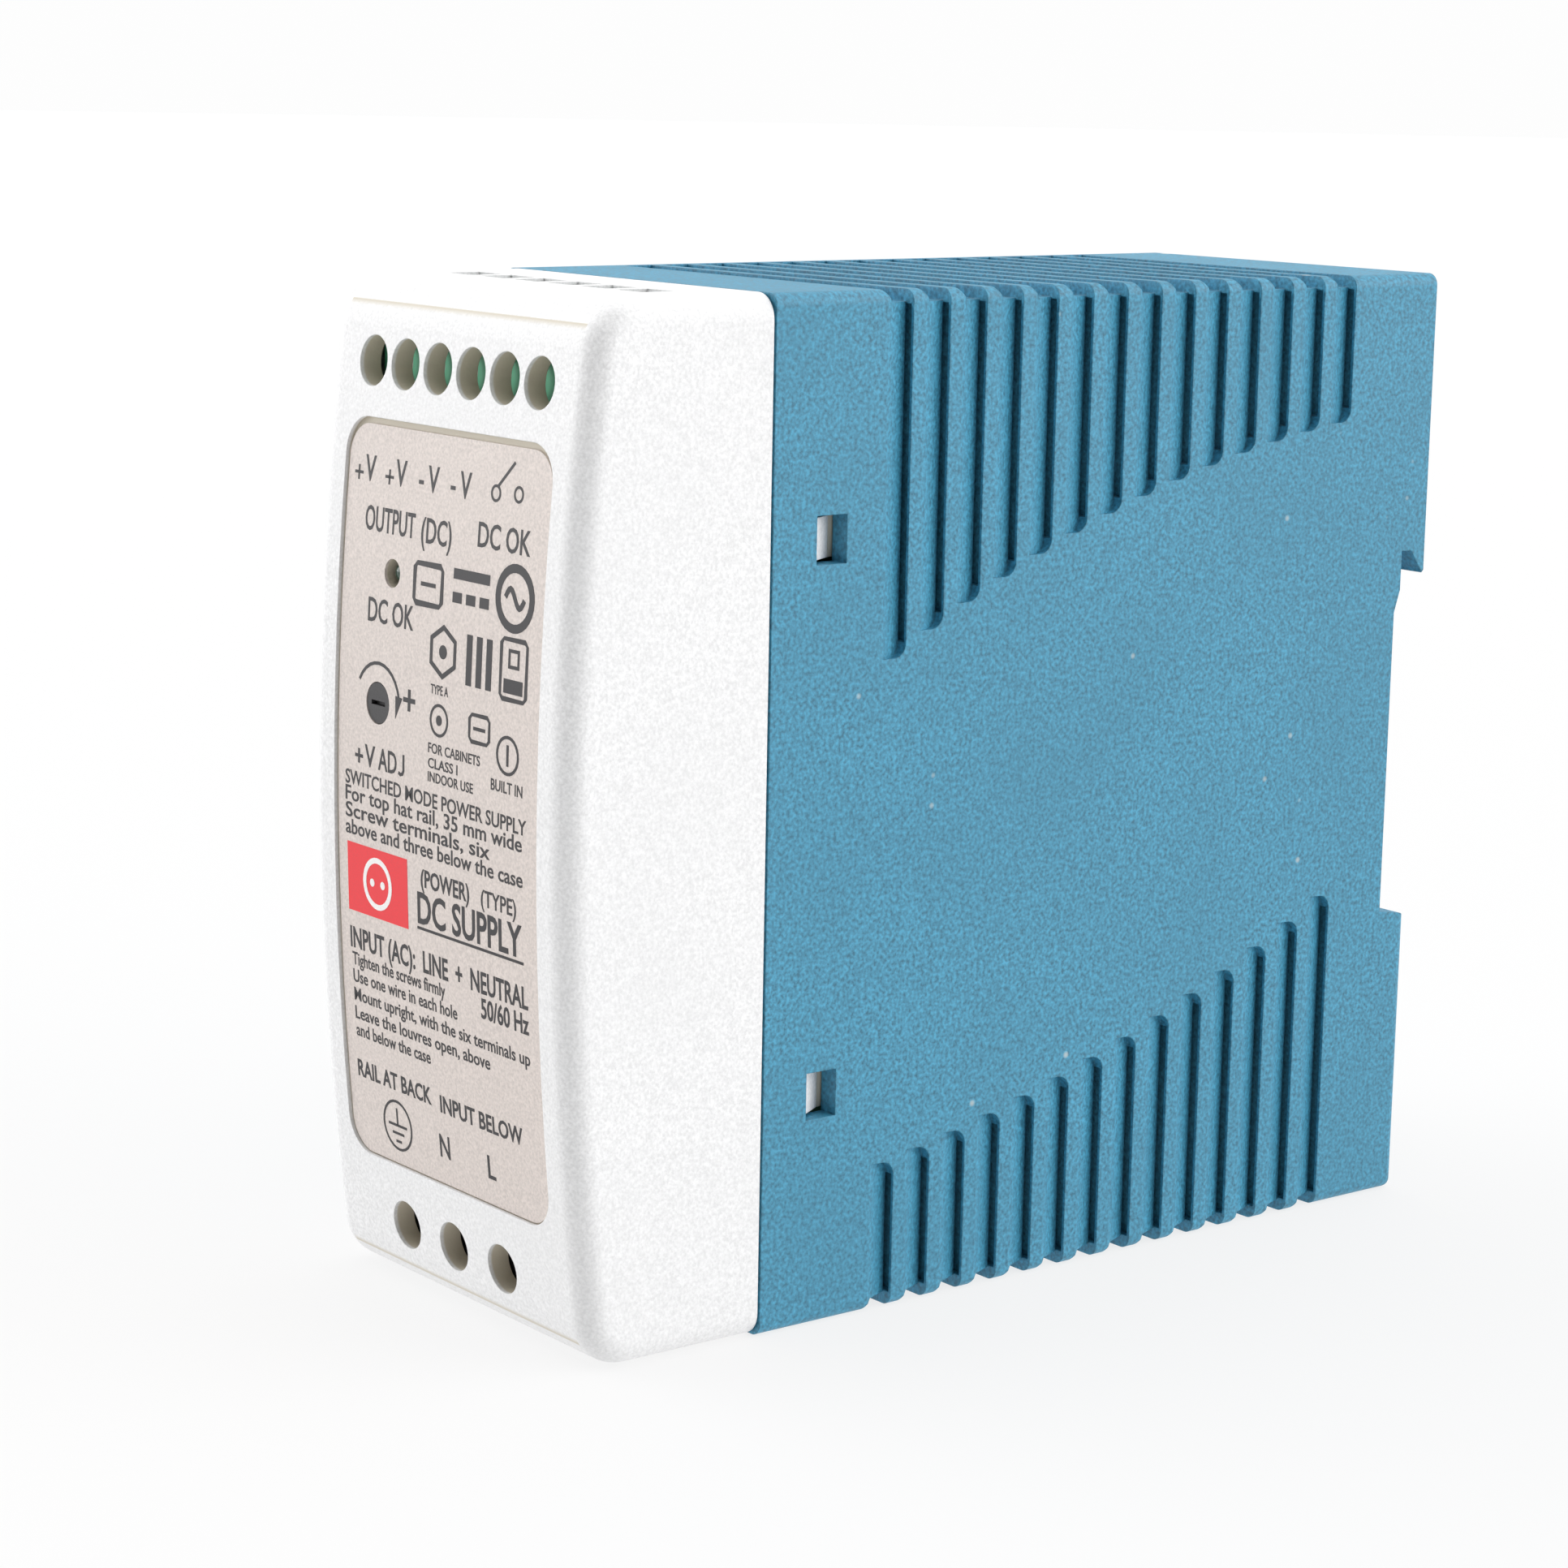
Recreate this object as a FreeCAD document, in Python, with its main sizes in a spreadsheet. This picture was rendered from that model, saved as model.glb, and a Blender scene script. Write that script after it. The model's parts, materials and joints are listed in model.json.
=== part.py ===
import FreeCAD, Part
import Sketcher
import math
import os
import re

# DIN rail power supply, 40 mm wide, 90 mm high and 100 mm deep.
# Own frame in millimetres: X across the front, Y from the front cover to the rail, Z up.
# The origin is under the middle of the object, on the plane that it stands on.

doc = FreeCAD.newDocument("din_rail_power_supply")

# ---------------------------------------------------------------- driving dimensions

SIZES = {
    # housing
    "width": 40, "height": 90, "depth": 100,
    "seam": 20.7,            # front-most point to the joint between cover and case
    "seam_gap": 0.25,
    "wall": 2.0, "cover_wall": 2.1,
    "arch": 3.17,            # how far the front face falls back at its top and bottom
    "brow_round": 4.8, "cover_round": 2.2, "case_round": 1.1,
    "rear_inner": 43.6, "rear_inner_top": 48.0, "rear_shelf": 65.9,
    # label
    "recess_width": 31.8, "recess_low": 11.75, "recess_high": 77.95,
    "recess_deep": 0.5, "recess_corner": 3.2, "label_thick": 0.25, "label_gap": 0.3,
    # front holes
    "driver_hole": 2.2, "led_x": -7.6, "led_z": 64.9, "led_hole": 1.25, "led_nose": 1.15,
    "trim_x": -9.2, "trim_z": 53.4, "trim_hole": 1.87, "trim_spindle": 1.8,
    # louvres of the rear case
    "louvre_first": 32.8, "louvre_open": 2.7, "louvre_pitch": 4.12, "louvre_deep": 1.1,
    "louvre_count": 14, "louvre_curl": 1.3, "louvre_lip": 0.3, "louvre_mouth": 0.7,
    "mouth_margin": 0.15, "rib_end": 18.0, "rib_slope": 0.5, "rib_lean": 0.7,
    "vent_wide": 1.5, "vent_inner": 1.0, "vent_outer": 12.5,
    # arcs on which the side louvres end, from the front-most point of the object
    "upper_arc_y": 109, "upper_arc_z": -72.3, "upper_arc": 150,
    "lower_arc_y": 3.7, "lower_arc_z": 200.8, "lower_arc": 190,
    # snap hooks between cover and case
    "hook_up": 24.2, "hook_wide": 3.6, "window_wide": 4.2, "window_near": 25.5, "window_far": 28.75,
    "hook_face": 17.8, "hook_thick": 1.5, "hook_reach": 19.4,
    # 35 mm rail seat
    "rail_floor": 46.2, "rail_upper_floor": 46.9, "rail_slot_out": 48.2,
    "rail_roof": 63.7, "rail_lip": 61.46, "rail_jaw": 28.45, "jaw_fall": 0.45, "jaw_run": 1.0,
    "jaw_round": 1.2,
    # rail latch and its spring
    "latch_half": 6.9, "latch_front": 45.6, "latch_back": 49.6, "latch_play": 0.2,
    "flange_half": 8.3, "flange_front": 46.8, "flange_back": 48.0,
    "latch_foot": 0.4, "nose_top": 30.9, "nose_front": 48.1,
    "lug_low": 8.1, "lug_high": 10.1, "spring_top": 21.9, "spring_half": 2.4,
    "spring_coil": 1.1, "spring_wire": 0.2, "spring_turns": 7, "spring_y": 46.95,
    # terminals
    "out_pitch": 5.08, "out_poles": 6, "out_screw_z": 82.75,
    "in_pitch": 7.62, "in_poles": 3, "in_screw_z": 6.3,
    "block_front": -45.0, "block_bevel": 1.8, "board_front": -33.0, "board_thick": 1.6,
    "clamp_travel": 2.4, "entry_half": 1.7, "out_entry": 3.8,
    "in_entry": 5.4, "in_entry_half": 2.8,
    # boards
    "front_board_half": 16.0, "front_board_low": 3.2,
    "main_board_x": -15.9, "main_board_front": -31.2, "main_board_back": 42.8,
    "main_board_low": 4.0, "sheet_low": 5, "sheet_front": -17, "sheet_back": 42,
}

sheet = doc.addObject("Spreadsheet::Sheet", "Sizes")
for row, (name, number) in enumerate(SIZES.items(), start=1):
    sheet.set(f"A{row}", name)
    sheet.set(f"B{row}", str(number))
    sheet.setAlias(f"B{row}", name)
doc.recompute()


def linked(formula):
    """A formula in the sheet's words, as an expression that FreeCAD can follow."""
    return re.sub(r"[a-z_]{2,}", lambda w: f"Sizes.{w[0]}" if w[0] in SIZES else w[0], str(formula))


def value(formula):
    return float(sheet.evalExpression(linked(formula)))


# ---------------------------------------------------------------- small building blocks

parts = {}
AXES = {
    "x": FreeCAD.Rotation(FreeCAD.Vector(0, 1, 0), 90),
    "y": FreeCAD.Rotation(FreeCAD.Vector(1, 0, 0), -90),
    "z": FreeCAD.Rotation(),
}
PAIRED = ((1, "right"), (-1, "left"))


def place(obj, x, y, z):
    for axis, formula in zip("xyz", (x, y, z)):
        obj.setExpression(f"Placement.Base.{axis}", linked(formula))


def box(name, x, y, z):
    """A block between two places on each axis."""
    block = doc.addObject("Part::Box", name)
    for size, (low, high) in zip(("Length", "Width", "Height"), (x, y, z)):
        block.setExpression(size, linked(f"({high}) - ({low})"))
    place(block, x[0], y[0], z[0])
    return block


def span(side, near, far):
    """The two ends of a stretch of X on one side, lowest first."""
    ends = (f"{side} * ({near})", f"{side} * ({far})")
    return ends if side > 0 else (ends[1], ends[0])


def rod(name, axis, radius, start, length):
    """A cylinder that runs from its start along +axis."""
    bar = doc.addObject("Part::Cylinder", name)
    bar.Placement = FreeCAD.Placement(FreeCAD.Vector(), AXES[axis])
    bar.setExpression("Radius", linked(radius))
    bar.setExpression("Height", linked(length))
    place(bar, *start)
    return bar


def ball(name, radius, centre):
    orb = doc.addObject("Part::Sphere", name)
    orb.setExpression("Radius", linked(radius))
    place(orb, *centre)
    return orb


def fuse(name, pieces):
    joined = doc.addObject("Part::MultiFuse", name)
    joined.Shapes = pieces
    joined.Refine = True
    return joined


def group(name, pieces):
    """Several separate solids kept as one piece of work."""
    together = doc.addObject("Part::Compound", name)
    together.Links = pieces
    return together


def cut(name, base, tools):
    carved = doc.addObject("Part::Cut", name)
    carved.Base = base
    carved.Tool = tools[0] if len(tools) == 1 else fuse(f"{name}_tools", tools)
    carved.Refine = True
    return carved


def common(name, first, second):
    shared = doc.addObject("Part::Common", name)
    shared.Base = first
    shared.Tool = second
    return shared


def node(label, obj):
    """Give a finished sub-part its own name."""
    obj.Label = label
    parts[label] = obj
    return obj


def origin_feature(body, role):
    return next(f for f in body.Origin.OriginFeatures if f.Role == role)


def outline(body, name, plane, corners, arcs=None):
    """A closed sketch on an origin plane. Each corner is a pair of formulas.

    arcs maps the number of a side to (radius formula, turn). The side that starts at that
    corner is then an arc: turn is +1 where it runs clockwise, and -1 where it runs the other way.
    """
    sketch = body.newObject("Sketcher::SketchObject", name)
    sketch.AttachmentSupport = [(origin_feature(body, plane), "")]
    sketch.MapMode = "FlatFace"
    arcs = arcs or {}
    spots = [FreeCAD.Vector(value(u), value(v), 0) for u, v in corners]
    first_end, last_end = {}, {}
    for side, spot in enumerate(spots):
        after = spots[(side + 1) % len(spots)]
        first_end[side], last_end[side] = 1, 2
        if side not in arcs:
            sketch.addGeometry(Part.LineSegment(spot, after), False)
            continue
        radius, turn = value(arcs[side][0]), arcs[side][1]
        chord = after - spot
        left = FreeCAD.Vector(-chord.y, chord.x, 0).normalize()
        back = math.sqrt(radius ** 2 - chord.Length ** 2 / 4)
        centre = (spot + after) * 0.5 - left * (turn * back)
        ends = [math.atan2(p.y - centre.y, p.x - centre.x) for p in (spot, after)]
        if turn > 0:
            ends.reverse()
            first_end[side], last_end[side] = 2, 1
        circle = Part.Circle(centre, FreeCAD.Vector(0, 0, 1), radius)
        sketch.addGeometry(Part.ArcOfCircle(circle, *ends), False)
    for side in range(len(spots)):
        after = (side + 1) % len(spots)
        sketch.addConstraint(Sketcher.Constraint(
            "Coincident", side, last_end[side], after, first_end[after]))
    for side, ((u, v), spot) in enumerate(zip(corners, spots)):
        for kind, formula, number in (("DistanceX", u, spot.x), ("DistanceY", v, spot.y)):
            where = sketch.addConstraint(Sketcher.Constraint(
                kind, -1, 1, side, first_end[side], number))
            sketch.setExpression(f"Constraints[{where}]", linked(formula))
    for side, (radius, _) in arcs.items():
        where = sketch.addConstraint(Sketcher.Constraint("Radius", side, value(radius)))
        sketch.setExpression(f"Constraints[{where}]", linked(radius))
    return sketch


def pad(body, name, sketch, length, symmetric=False):
    raised = body.newObject("PartDesign::Pad", name)
    raised.Profile = sketch
    if symmetric:
        raised.SideType = "Symmetric"
    raised.setExpression("Length", linked(length))
    return raised


def pocket(body, name, sketch, length, other=None):
    """A cut to both sides of its sketch: evenly, or by one length to each side."""
    sunk = body.newObject("PartDesign::Pocket", name)
    sunk.Profile = sketch
    sunk.SideType = "Symmetric" if other is None else "Two sides"
    sunk.setExpression("Length", linked(length))
    if other is not None:
        sunk.setExpression("Length2", linked(other))
    return sunk


def rounded(body, name, base, radius, wanted):
    """Fillet every edge of the base feature that the test wants."""
    doc.recompute()
    edges = [f"Edge{i}" for i, e in enumerate(base.Shape.Edges, start=1) if wanted(e)]
    fillet = body.newObject("PartDesign::Fillet", name)
    fillet.Base = (base, edges)
    fillet.setExpression("Radius", linked(radius))
    return fillet


def prism(name, plane, corners, length, symmetric=False, arcs=None):
    """A body with one padded outline."""
    body = doc.addObject("PartDesign::Body", name)
    pad(body, f"{name}_pad", outline(body, f"{name}_outline", plane, corners, arcs), length, symmetric)
    return body


def along(edge, axis):
    """Whether an edge runs parallel to an axis."""
    ends = [v.Point for v in edge.Vertexes]
    if len(ends) < 2:
        return False
    span = ends[1] - ends[0]
    return span.Length > 1e-6 and abs(abs(span[axis]) - span.Length) < 1e-3 * span.Length


def middle_of(edge):
    return edge.CenterOfMass


# ---------------------------------------------------------------- the arched front

FRONT = "(-depth / 2)"
MIDDLE = "(height / 2)"
ARCH_RADIUS = "((height ^ 2 / 4 + arch ^ 2) / (2 * arch))"


def arch_y(behind, level):
    """How far along Y the front surface lies at a level, or a surface at a depth behind it."""
    radius = f"({ARCH_RADIUS} - ({behind}))"
    return f"({FRONT} + {ARCH_RADIUS} - sqrt({radius} ^ 2 - (({level}) - {MIDDLE}) ^ 2))"


def arched_plate(name, near, far, low, high, wide, corner):
    """A plate that follows the arched front, between two depths behind the surface."""
    band = prism(f"{name}_band", "YZ_Plane",
                 [(arch_y(near, low), low), (arch_y(near, high), high),
                  (arch_y(far, high), high), (arch_y(far, low), low)],
                 "width", symmetric=True,
                 arcs={0: (f"{ARCH_RADIUS} - ({near})", 1), 2: (f"{ARCH_RADIUS} - ({far})", -1)})
    half = f"({wide}) / 2"
    left, right = f"-{half}", half
    window = prism(f"{name}_window", "XZ_Plane",
                   [(left, f"{low} + {corner}"), (left, f"{high} - {corner}"),
                    (f"{left} + {corner}", high), (f"{right} - {corner}", high),
                    (right, f"{high} - {corner}"), (right, f"{low} + {corner}"),
                    (f"{right} - {corner}", low), (f"{left} + {corner}", low)],
                   "2 * depth", symmetric=True, arcs={n: (corner, 1) for n in (1, 3, 5, 7)})
    return common(name, band, window)


# ---------------------------------------------------------------- front cover

SEAM = f"({FRONT} + seam)"


def shell_edge(behind, seam_y):
    """Outline of the cover in side view, at a depth behind its surface."""
    low, high = behind, f"height - {behind}"
    return ([(seam_y, low), (seam_y, high), (arch_y(behind, high), high), (arch_y(behind, low), low)],
            {2: (f"{ARCH_RADIUS} - {behind}", -1)})


def pole_places(pitch, poles):
    """The X of each pole of a terminal row, left to right."""
    return [f"({pitch} * {n} - {pitch} * ({poles} - 1) / 2)" for n in range(int(value(poles)))]


OUT_X = pole_places("out_pitch", "out_poles")
IN_X = pole_places("in_pitch", "in_poles")
WIRE_Y = "(board_front - 4.4)"


def cover_shell():
    body = doc.addObject("PartDesign::Body", "cover_shell")
    corners, arcs = shell_edge("0", f"{SEAM} - seam_gap / 2")
    outer = pad(body, "cover_block", outline(body, "cover_side", "YZ_Plane", corners, arcs),
                "width", symmetric=True)
    front_limit = value(f"{FRONT} + arch") + 0.01
    brow = rounded(body, "cover_brow", outer, "brow_round",
                   lambda e: along(e, 0) and middle_of(e).y < front_limit)
    seam_limit = value(f"{SEAM} - seam_gap / 2") - 0.01
    half = value("width / 2") - 0.01
    rounded(body, "cover_edges", brow, "cover_round",
            lambda e: abs(middle_of(e).x) > half and middle_of(e).y < seam_limit)
    corners, arcs = shell_edge("cover_wall", f"{SEAM} + 1")
    hollow = pocket(body, "cover_hollow", outline(body, "cover_inside", "YZ_Plane", corners, arcs),
                    "width - 2 * cover_wall")
    inner_half = value("width / 2 - cover_wall") - 0.01
    inner_front = value(f"{FRONT} + arch + cover_wall") + 0.01
    rounded(body, "cover_inner_brow", hollow, "brow_round - cover_wall",
            lambda e: along(e, 0) and middle_of(e).y < inner_front
            and e.Length > 2 * inner_half - 0.5
            and value("cover_wall") - 0.01 < middle_of(e).z < value("height - cover_wall") + 0.01)
    return body


def snap_hook(name, side, level):
    """A springy tongue behind the cover's wall, with a wedge that catches in a case window."""
    root = box(f"{name}_root", span(side, "hook_face - hook_thick", "width / 2 - wall"),
               (f"{SEAM} - 7", f"{SEAM} - seam_gap / 2"),
               (f"{level} - hook_wide / 2", f"{level} + hook_wide / 2"))
    near = f"({FRONT} + window_near + 0.2)"
    tip = f"({FRONT} + window_far + 0.6)"
    tongue = doc.addObject("PartDesign::Body", f"{name}_tongue")
    inner = f"{side} * (hook_face - hook_thick)"
    corners = [(inner, f"{SEAM} - 1"), (f"{side} * hook_face", f"{SEAM} - 1"),
               (f"{side} * hook_face", near), (f"{side} * hook_reach", near),
               (f"{side} * hook_face", f"{near} + 2.7"), (f"{side} * hook_face", tip), (inner, tip)]
    pad(tongue, f"{name}_pad", outline(tongue, f"{name}_outline", "XY_Plane", corners), "hook_wide")
    place(tongue, "0", "0", f"{level} - hook_wide / 2")
    return [root, tongue]


def front_cover():
    hooks = []
    for side, where in PAIRED:
        for sign, row in PAIRED:
            hooks += snap_hook(f"hook_{where}_{row}", side, f"({MIDDLE} + {sign} * hook_up)")
    solid = fuse("cover_with_hooks", [cover_shell()] + hooks)
    tools = [arched_plate("label_recess", "-1", "recess_deep", "recess_low", "recess_high",
                          "recess_width", "recess_corner")]
    through = (f"{FRONT} - 1", "10")
    for n, x in enumerate(OUT_X, start=1):
        tools.append(rod(f"out_driver_{n}", "y", "driver_hole", (x, through[0], "out_screw_z"), through[1]))
        tools.append(box(f"out_entry_{n}", (f"{x} - out_entry / 2", f"{x} + out_entry / 2"),
                         (f"{WIRE_Y} - entry_half", f"{WIRE_Y} + entry_half"), ("height - 3", "height + 1")))
    for n, x in enumerate(IN_X, start=1):
        tools.append(rod(f"in_driver_{n}", "y", "driver_hole", (x, through[0], "in_screw_z"), through[1]))
        tools.append(box(f"in_entry_{n}", (f"{x} - in_entry / 2", f"{x} + in_entry / 2"),
                         (f"{WIRE_Y} - in_entry_half", f"{WIRE_Y} + in_entry_half"), ("-1", "3")))
    tools.append(rod("led_window", "y", "led_hole", ("led_x", through[0], "led_z"), through[1]))
    tools.append(rod("trim_window", "y", "trim_hole", ("trim_x", through[0], "trim_z"), through[1]))
    return node("front_cover", cut("cover_cut", solid, tools))


def front_label():
    plate = arched_plate("label_plate", "recess_deep - label_thick", "recess_deep",
                         "recess_low + label_gap / 2", "recess_high - 2 * label_gap",
                         "recess_width - 2 * label_gap", "(recess_corner - label_gap)")
    tools = [rod(f"label_{name}_hole", "y", radius, (x, f"{FRONT} - 1", z), "6")
             for name, radius, x, z in (("led", "led_hole", "led_x", "led_z"),
                                        ("trim", "trim_hole", "trim_x", "trim_z"))]
    return node("front_label", cut("label_cut", plate, tools))


# ---------------------------------------------------------------- rear case

REAR = "(depth / 2)"
CASE_FRONT = f"({SEAM} + seam_gap / 2)"


def louvre_step(n):
    """Y of the step at the back of one louvre, counted from the front."""
    return f"({FRONT} + louvre_first + louvre_open + louvre_pitch * {n})"


def upper_end(n):
    from_front = f"(louvre_first + louvre_open + louvre_pitch * {n})"
    return f"(upper_arc_z + sqrt(upper_arc ^ 2 - ({from_front} - upper_arc_y) ^ 2))"


def lower_end(n):
    from_front = f"(louvre_first + louvre_open + louvre_pitch * {n})"
    return f"(lower_arc_z - sqrt(lower_arc ^ 2 - ({from_front} - lower_arc_y) ^ 2))"


def pattern_along_y(body, name, original):
    row = body.newObject("PartDesign::LinearPattern", name)
    row.Originals = [original]
    row.Direction = (origin_feature(body, "Y_Axis"), [""])
    row.Mode = "Spacing"
    row.setExpression("Offset", linked("louvre_pitch"))
    row.setExpression("Occurrences", linked("louvre_count"))
    body.Tip = row
    return row


def case_shell():
    body = doc.addObject("PartDesign::Body", "case_shell")
    side = [(CASE_FRONT, "0"), (CASE_FRONT, "height"), (REAR, "height"),
            (REAR, "rail_lip + 0.25"), (f"{REAR} - 0.25", "rail_lip"),
            (f"{REAR} - 0.45", "rail_lip + 0.35"), ("rail_slot_out", "rail_roof"),
            ("rail_upper_floor", "rail_roof"), ("rail_upper_floor", "rail_lip - 1.46"),
            ("rail_floor", "rail_lip - 3.66"), ("rail_floor", "rail_jaw"),
            (f"{REAR} - jaw_run", "rail_jaw - jaw_fall"),
            (REAR, "rail_jaw - jaw_fall - jaw_run"),
            (REAR, "0.8"), (f"{REAR} - 0.8", "0")]
    arcs = {11: ("jaw_round", 1), 13: ("0.8", 1)}
    outer = pad(body, "case_block", outline(body, "case_side", "YZ_Plane", side, arcs),
                "width", symmetric=True)
    half = value("width / 2") - 0.01
    ends = (0, value("height"))
    rounded(body, "case_edges", outer, "case_round",
            lambda e: along(e, 1) and abs(middle_of(e).x) > half
            and min(abs(middle_of(e).z - z) for z in ends) < 0.01)
    inside = [(f"{CASE_FRONT} - 1", "wall"), (f"{CASE_FRONT} - 1", "height - wall"),
              ("rear_inner_top", "height - wall"), ("rear_inner_top", "rear_shelf"),
              ("rear_inner", "rear_shelf"), ("rear_inner", "wall")]
    pocket(body, "case_hollow", outline(body, "case_inside", "YZ_Plane", inside), "width - 2 * wall")
    near, step = f"({louvre_step(0)} - louvre_open)", louvre_step(0)
    lean = f"{near} + rib_slope - rib_lean * (louvre_deep + 1)"
    for name, floor, rim, left in (("top", "height - louvre_deep", "height + 1", "rib_end"),
                                   ("bottom", "louvre_deep", "-1", "width / 2 + 1")):
        groove = pocket(body, f"{name}_groove",
                        outline(body, f"{name}_groove_side", "YZ_Plane",
                                [(f"{near} + rib_slope", floor), (lean, rim), (step, rim), (step, floor)]),
                        left, "width / 2 + 1")
        pattern_along_y(body, f"{name}_grooves", groove)
    centre = f"({step} - louvre_open / 2)"
    for side_sign, name in PAIRED:
        slot = pocket(body, f"vent_{name}",
                      outline(body, f"vent_{name}_plan", "XY_Plane",
                              [(f"{side_sign} * vent_inner", f"{centre} - vent_wide / 2"),
                               (f"{side_sign} * vent_inner", f"{centre} + vent_wide / 2"),
                               (f"{side_sign} * vent_outer", f"{centre} + vent_wide / 2"),
                               (f"{side_sign} * vent_outer", f"{centre} - vent_wide / 2")]),
                      "2 * height + 10")
        pattern_along_y(body, f"vents_{name}", slot)
    return body


def ramp_teeth(name, side):
    """Sawtooth prisms that slope into one side face, one for each louvre."""
    body = doc.addObject("PartDesign::Body", name)
    near, step = f"({louvre_step(0)} - louvre_open)", louvre_step(0)
    face = f"{side} * width / 2"
    deep = f"{side} * (width / 2 - louvre_deep)"
    over = f"{side} * (width / 2 + 1)"
    tooth = pad(body, f"{name}_tooth",
                outline(body, f"{name}_plan", "XY_Plane",
                        [(face, near), (deep, step), (over, step), (over, near)]), "height + 2")
    pattern_along_y(body, f"{name}_row", tooth)
    place(body, "0", "0", "-1")
    return body


def louvre_fields():
    """Outlines of the side louvres, each with one rounded end where its step curls forward."""
    fields = []
    curl = "louvre_curl"
    for n in range(int(value("louvre_count"))):
        step = louvre_step(n)
        near = f"({step} - louvre_open)"
        for name, end, rim, sign in (("upper", upper_end(n), "height + 1", 1),
                                     ("lower", lower_end(n), "-1", -1)):
            corners = [(near, end), (f"{step} - {curl}", end),
                       (step, f"{end} + {sign} * {curl}"), (step, rim), (near, rim)]
            fields.append(prism(f"field_{name}_{n}", "YZ_Plane", corners, "width + 4",
                                symmetric=True, arcs={1: (curl, -sign)}))
    return fields


def louvre_mouths(side, where):
    """The air slots of the side louvres, each tucked under the lip behind its step."""
    across = span(side, "width / 2 - wall - 0.1", "width / 2 - louvre_lip")
    slots = []
    for n in range(int(value("louvre_count"))):
        along_y = (louvre_step(n), f"{louvre_step(n)} + louvre_mouth")
        for name, low, high in (
                ("upper", f"{upper_end(n)} + louvre_curl", "height - louvre_deep - mouth_margin"),
                ("lower", "louvre_deep + mouth_margin", f"{lower_end(n)} - louvre_curl")):
            slots.append(box(f"mouth_{name}_{where}_{n}", across, along_y, (low, high)))
    return group(f"mouths_{where}", slots)


def rear_case():
    guides = []
    for low, high, name in (("wall - 0.5", "main_board_low + 1", "bottom"),
                            ("height - main_board_low - 1", "height - wall + 0.5", "top")):
        for x_low, x_high, side in (("main_board_x - 1.05", "main_board_x - 0.05", "outer"),
                                    ("main_board_x + board_thick + 0.05",
                                     "main_board_x + board_thick + 1.05", "inner")):
            guides.append(box(f"guide_{name}_{side}", (x_low, x_high), ("-18", "40"), (low, high)))
    shell = fuse("case_with_guides", [case_shell()] + guides)

    fields = group("louvre_plan", louvre_fields())
    tools = [common(f"louvres_{where}", ramp_teeth(f"ramp_{where}", side), fields)
             for side, where in PAIRED]
    tools += [louvre_mouths(side, where) for side, where in PAIRED]
    for side, where in PAIRED:
        for sign, row in PAIRED:
            level = f"({MIDDLE} + {sign} * hook_up)"
            tools.append(box(f"window_{where}_{row}", (f"{side} * 19 - 1.5", f"{side} * 19 + 1.5"),
                             (f"{FRONT} + window_near", f"{FRONT} + window_far"),
                             (f"{level} - window_wide / 2", f"{level} + window_wide / 2")))
    play = "latch_play"
    tools.append(box("latch_channel", (f"-latch_half - {play}", f"latch_half + {play}"),
                     (f"latch_front - {play}", f"{REAR} + 1"), ("-1", "rail_jaw + 1")))
    tools.append(box("latch_grooves", (f"-flange_half - {play}", f"flange_half + {play}"),
                     (f"flange_front - {play}", f"flange_back + {play}"), ("-1", "25")))
    carved = cut("case_carved", shell, tools)
    lug = box("latch_lug", ("-spring_half + 0.3", "spring_half - 0.3"),
              (f"latch_front - {play} - 0.5", "spring_y + 1.2"), ("lug_low", "lug_high"))
    return node("rear_case", fuse("case_whole", [carved, lug]))


# ---------------------------------------------------------------- rail latch

def rail_latch():
    body = prism("latch_plate", "YZ_Plane",
                 [("latch_front", "latch_foot"), ("latch_front", "rail_jaw - 0.15"),
                  ("nose_front", "rail_jaw - 0.15"), ("nose_front", "nose_top - 0.4"),
                  ("nose_front + 0.3", "nose_top"), ("latch_back", "nose_top - 2"),
                  ("latch_back", "latch_foot")],
                 "2 * latch_half", symmetric=True)
    flanges = box("latch_flanges", ("-flange_half", "flange_half"),
                  ("flange_front", "flange_back"), ("latch_foot + 3.6", "21"))
    tools = [
        box("spring_chamber", ("-spring_half", "spring_half"), ("latch_front - 1", "spring_y + 1.4"),
            ("lug_low - 0.1", "spring_top + 0.1")),
        box("driver_slot", ("-3.2", "3.2"), ("latch_front - 1", "latch_back + 1"), ("2.0", "3.6")),
    ]
    for n in range(4):
        level = f"(12 + 3 * {n})"
        tools.append(box(f"latch_grip_{n + 1}", ("-latch_half + 1.5", "latch_half - 1.5"),
                         ("latch_back - 0.5", "latch_back + 1"), (level, f"{level} + 1.2")))
    return node("rail_latch", cut("latch_cut", fuse("latch_solid", [body, flanges]), tools))


def latch_spring():
    """Round wire wound into a compression spring that stands on the case's lug."""
    rise = value("spring_top - lug_high - 2 * spring_wire")
    helix = Part.makeHelix(rise / value("spring_turns"), rise, value("spring_coil"))
    start = FreeCAD.Vector(value("spring_coil"), 0, 0)
    section = Part.Wire(Part.Circle(start, FreeCAD.Vector(0, 1, 0), value("spring_wire")).toShape())
    coil = Part.Wire(helix).makePipeShell([section], True, True)
    seats = [Part.makeTorus(value("spring_coil"), value("spring_wire"), FreeCAD.Vector(0, 0, level))
             for level in (0, rise)]
    wound = coil.fuse(seats)
    spring = doc.addObject("Part::Feature", "spring_wound")
    spring.Shape = wound
    place(spring, "0", "spring_y", "lug_high + spring_wire")
    return node("latch_spring", spring)


# ---------------------------------------------------------------- screw terminals

# Places along Y behind the terminal block's front face.
HEAD = ("block_front + 0.5", "block_front + 1.6")
SHANK_END = "block_front + 5.2"
CLAMP = ("block_front + 4.2", "block_front + 9.9")
CHAMBER = ("block_front + 1.65", "block_front + 10.1")
BAR = ("block_front + 5.4", "block_front + 6.1")


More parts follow.
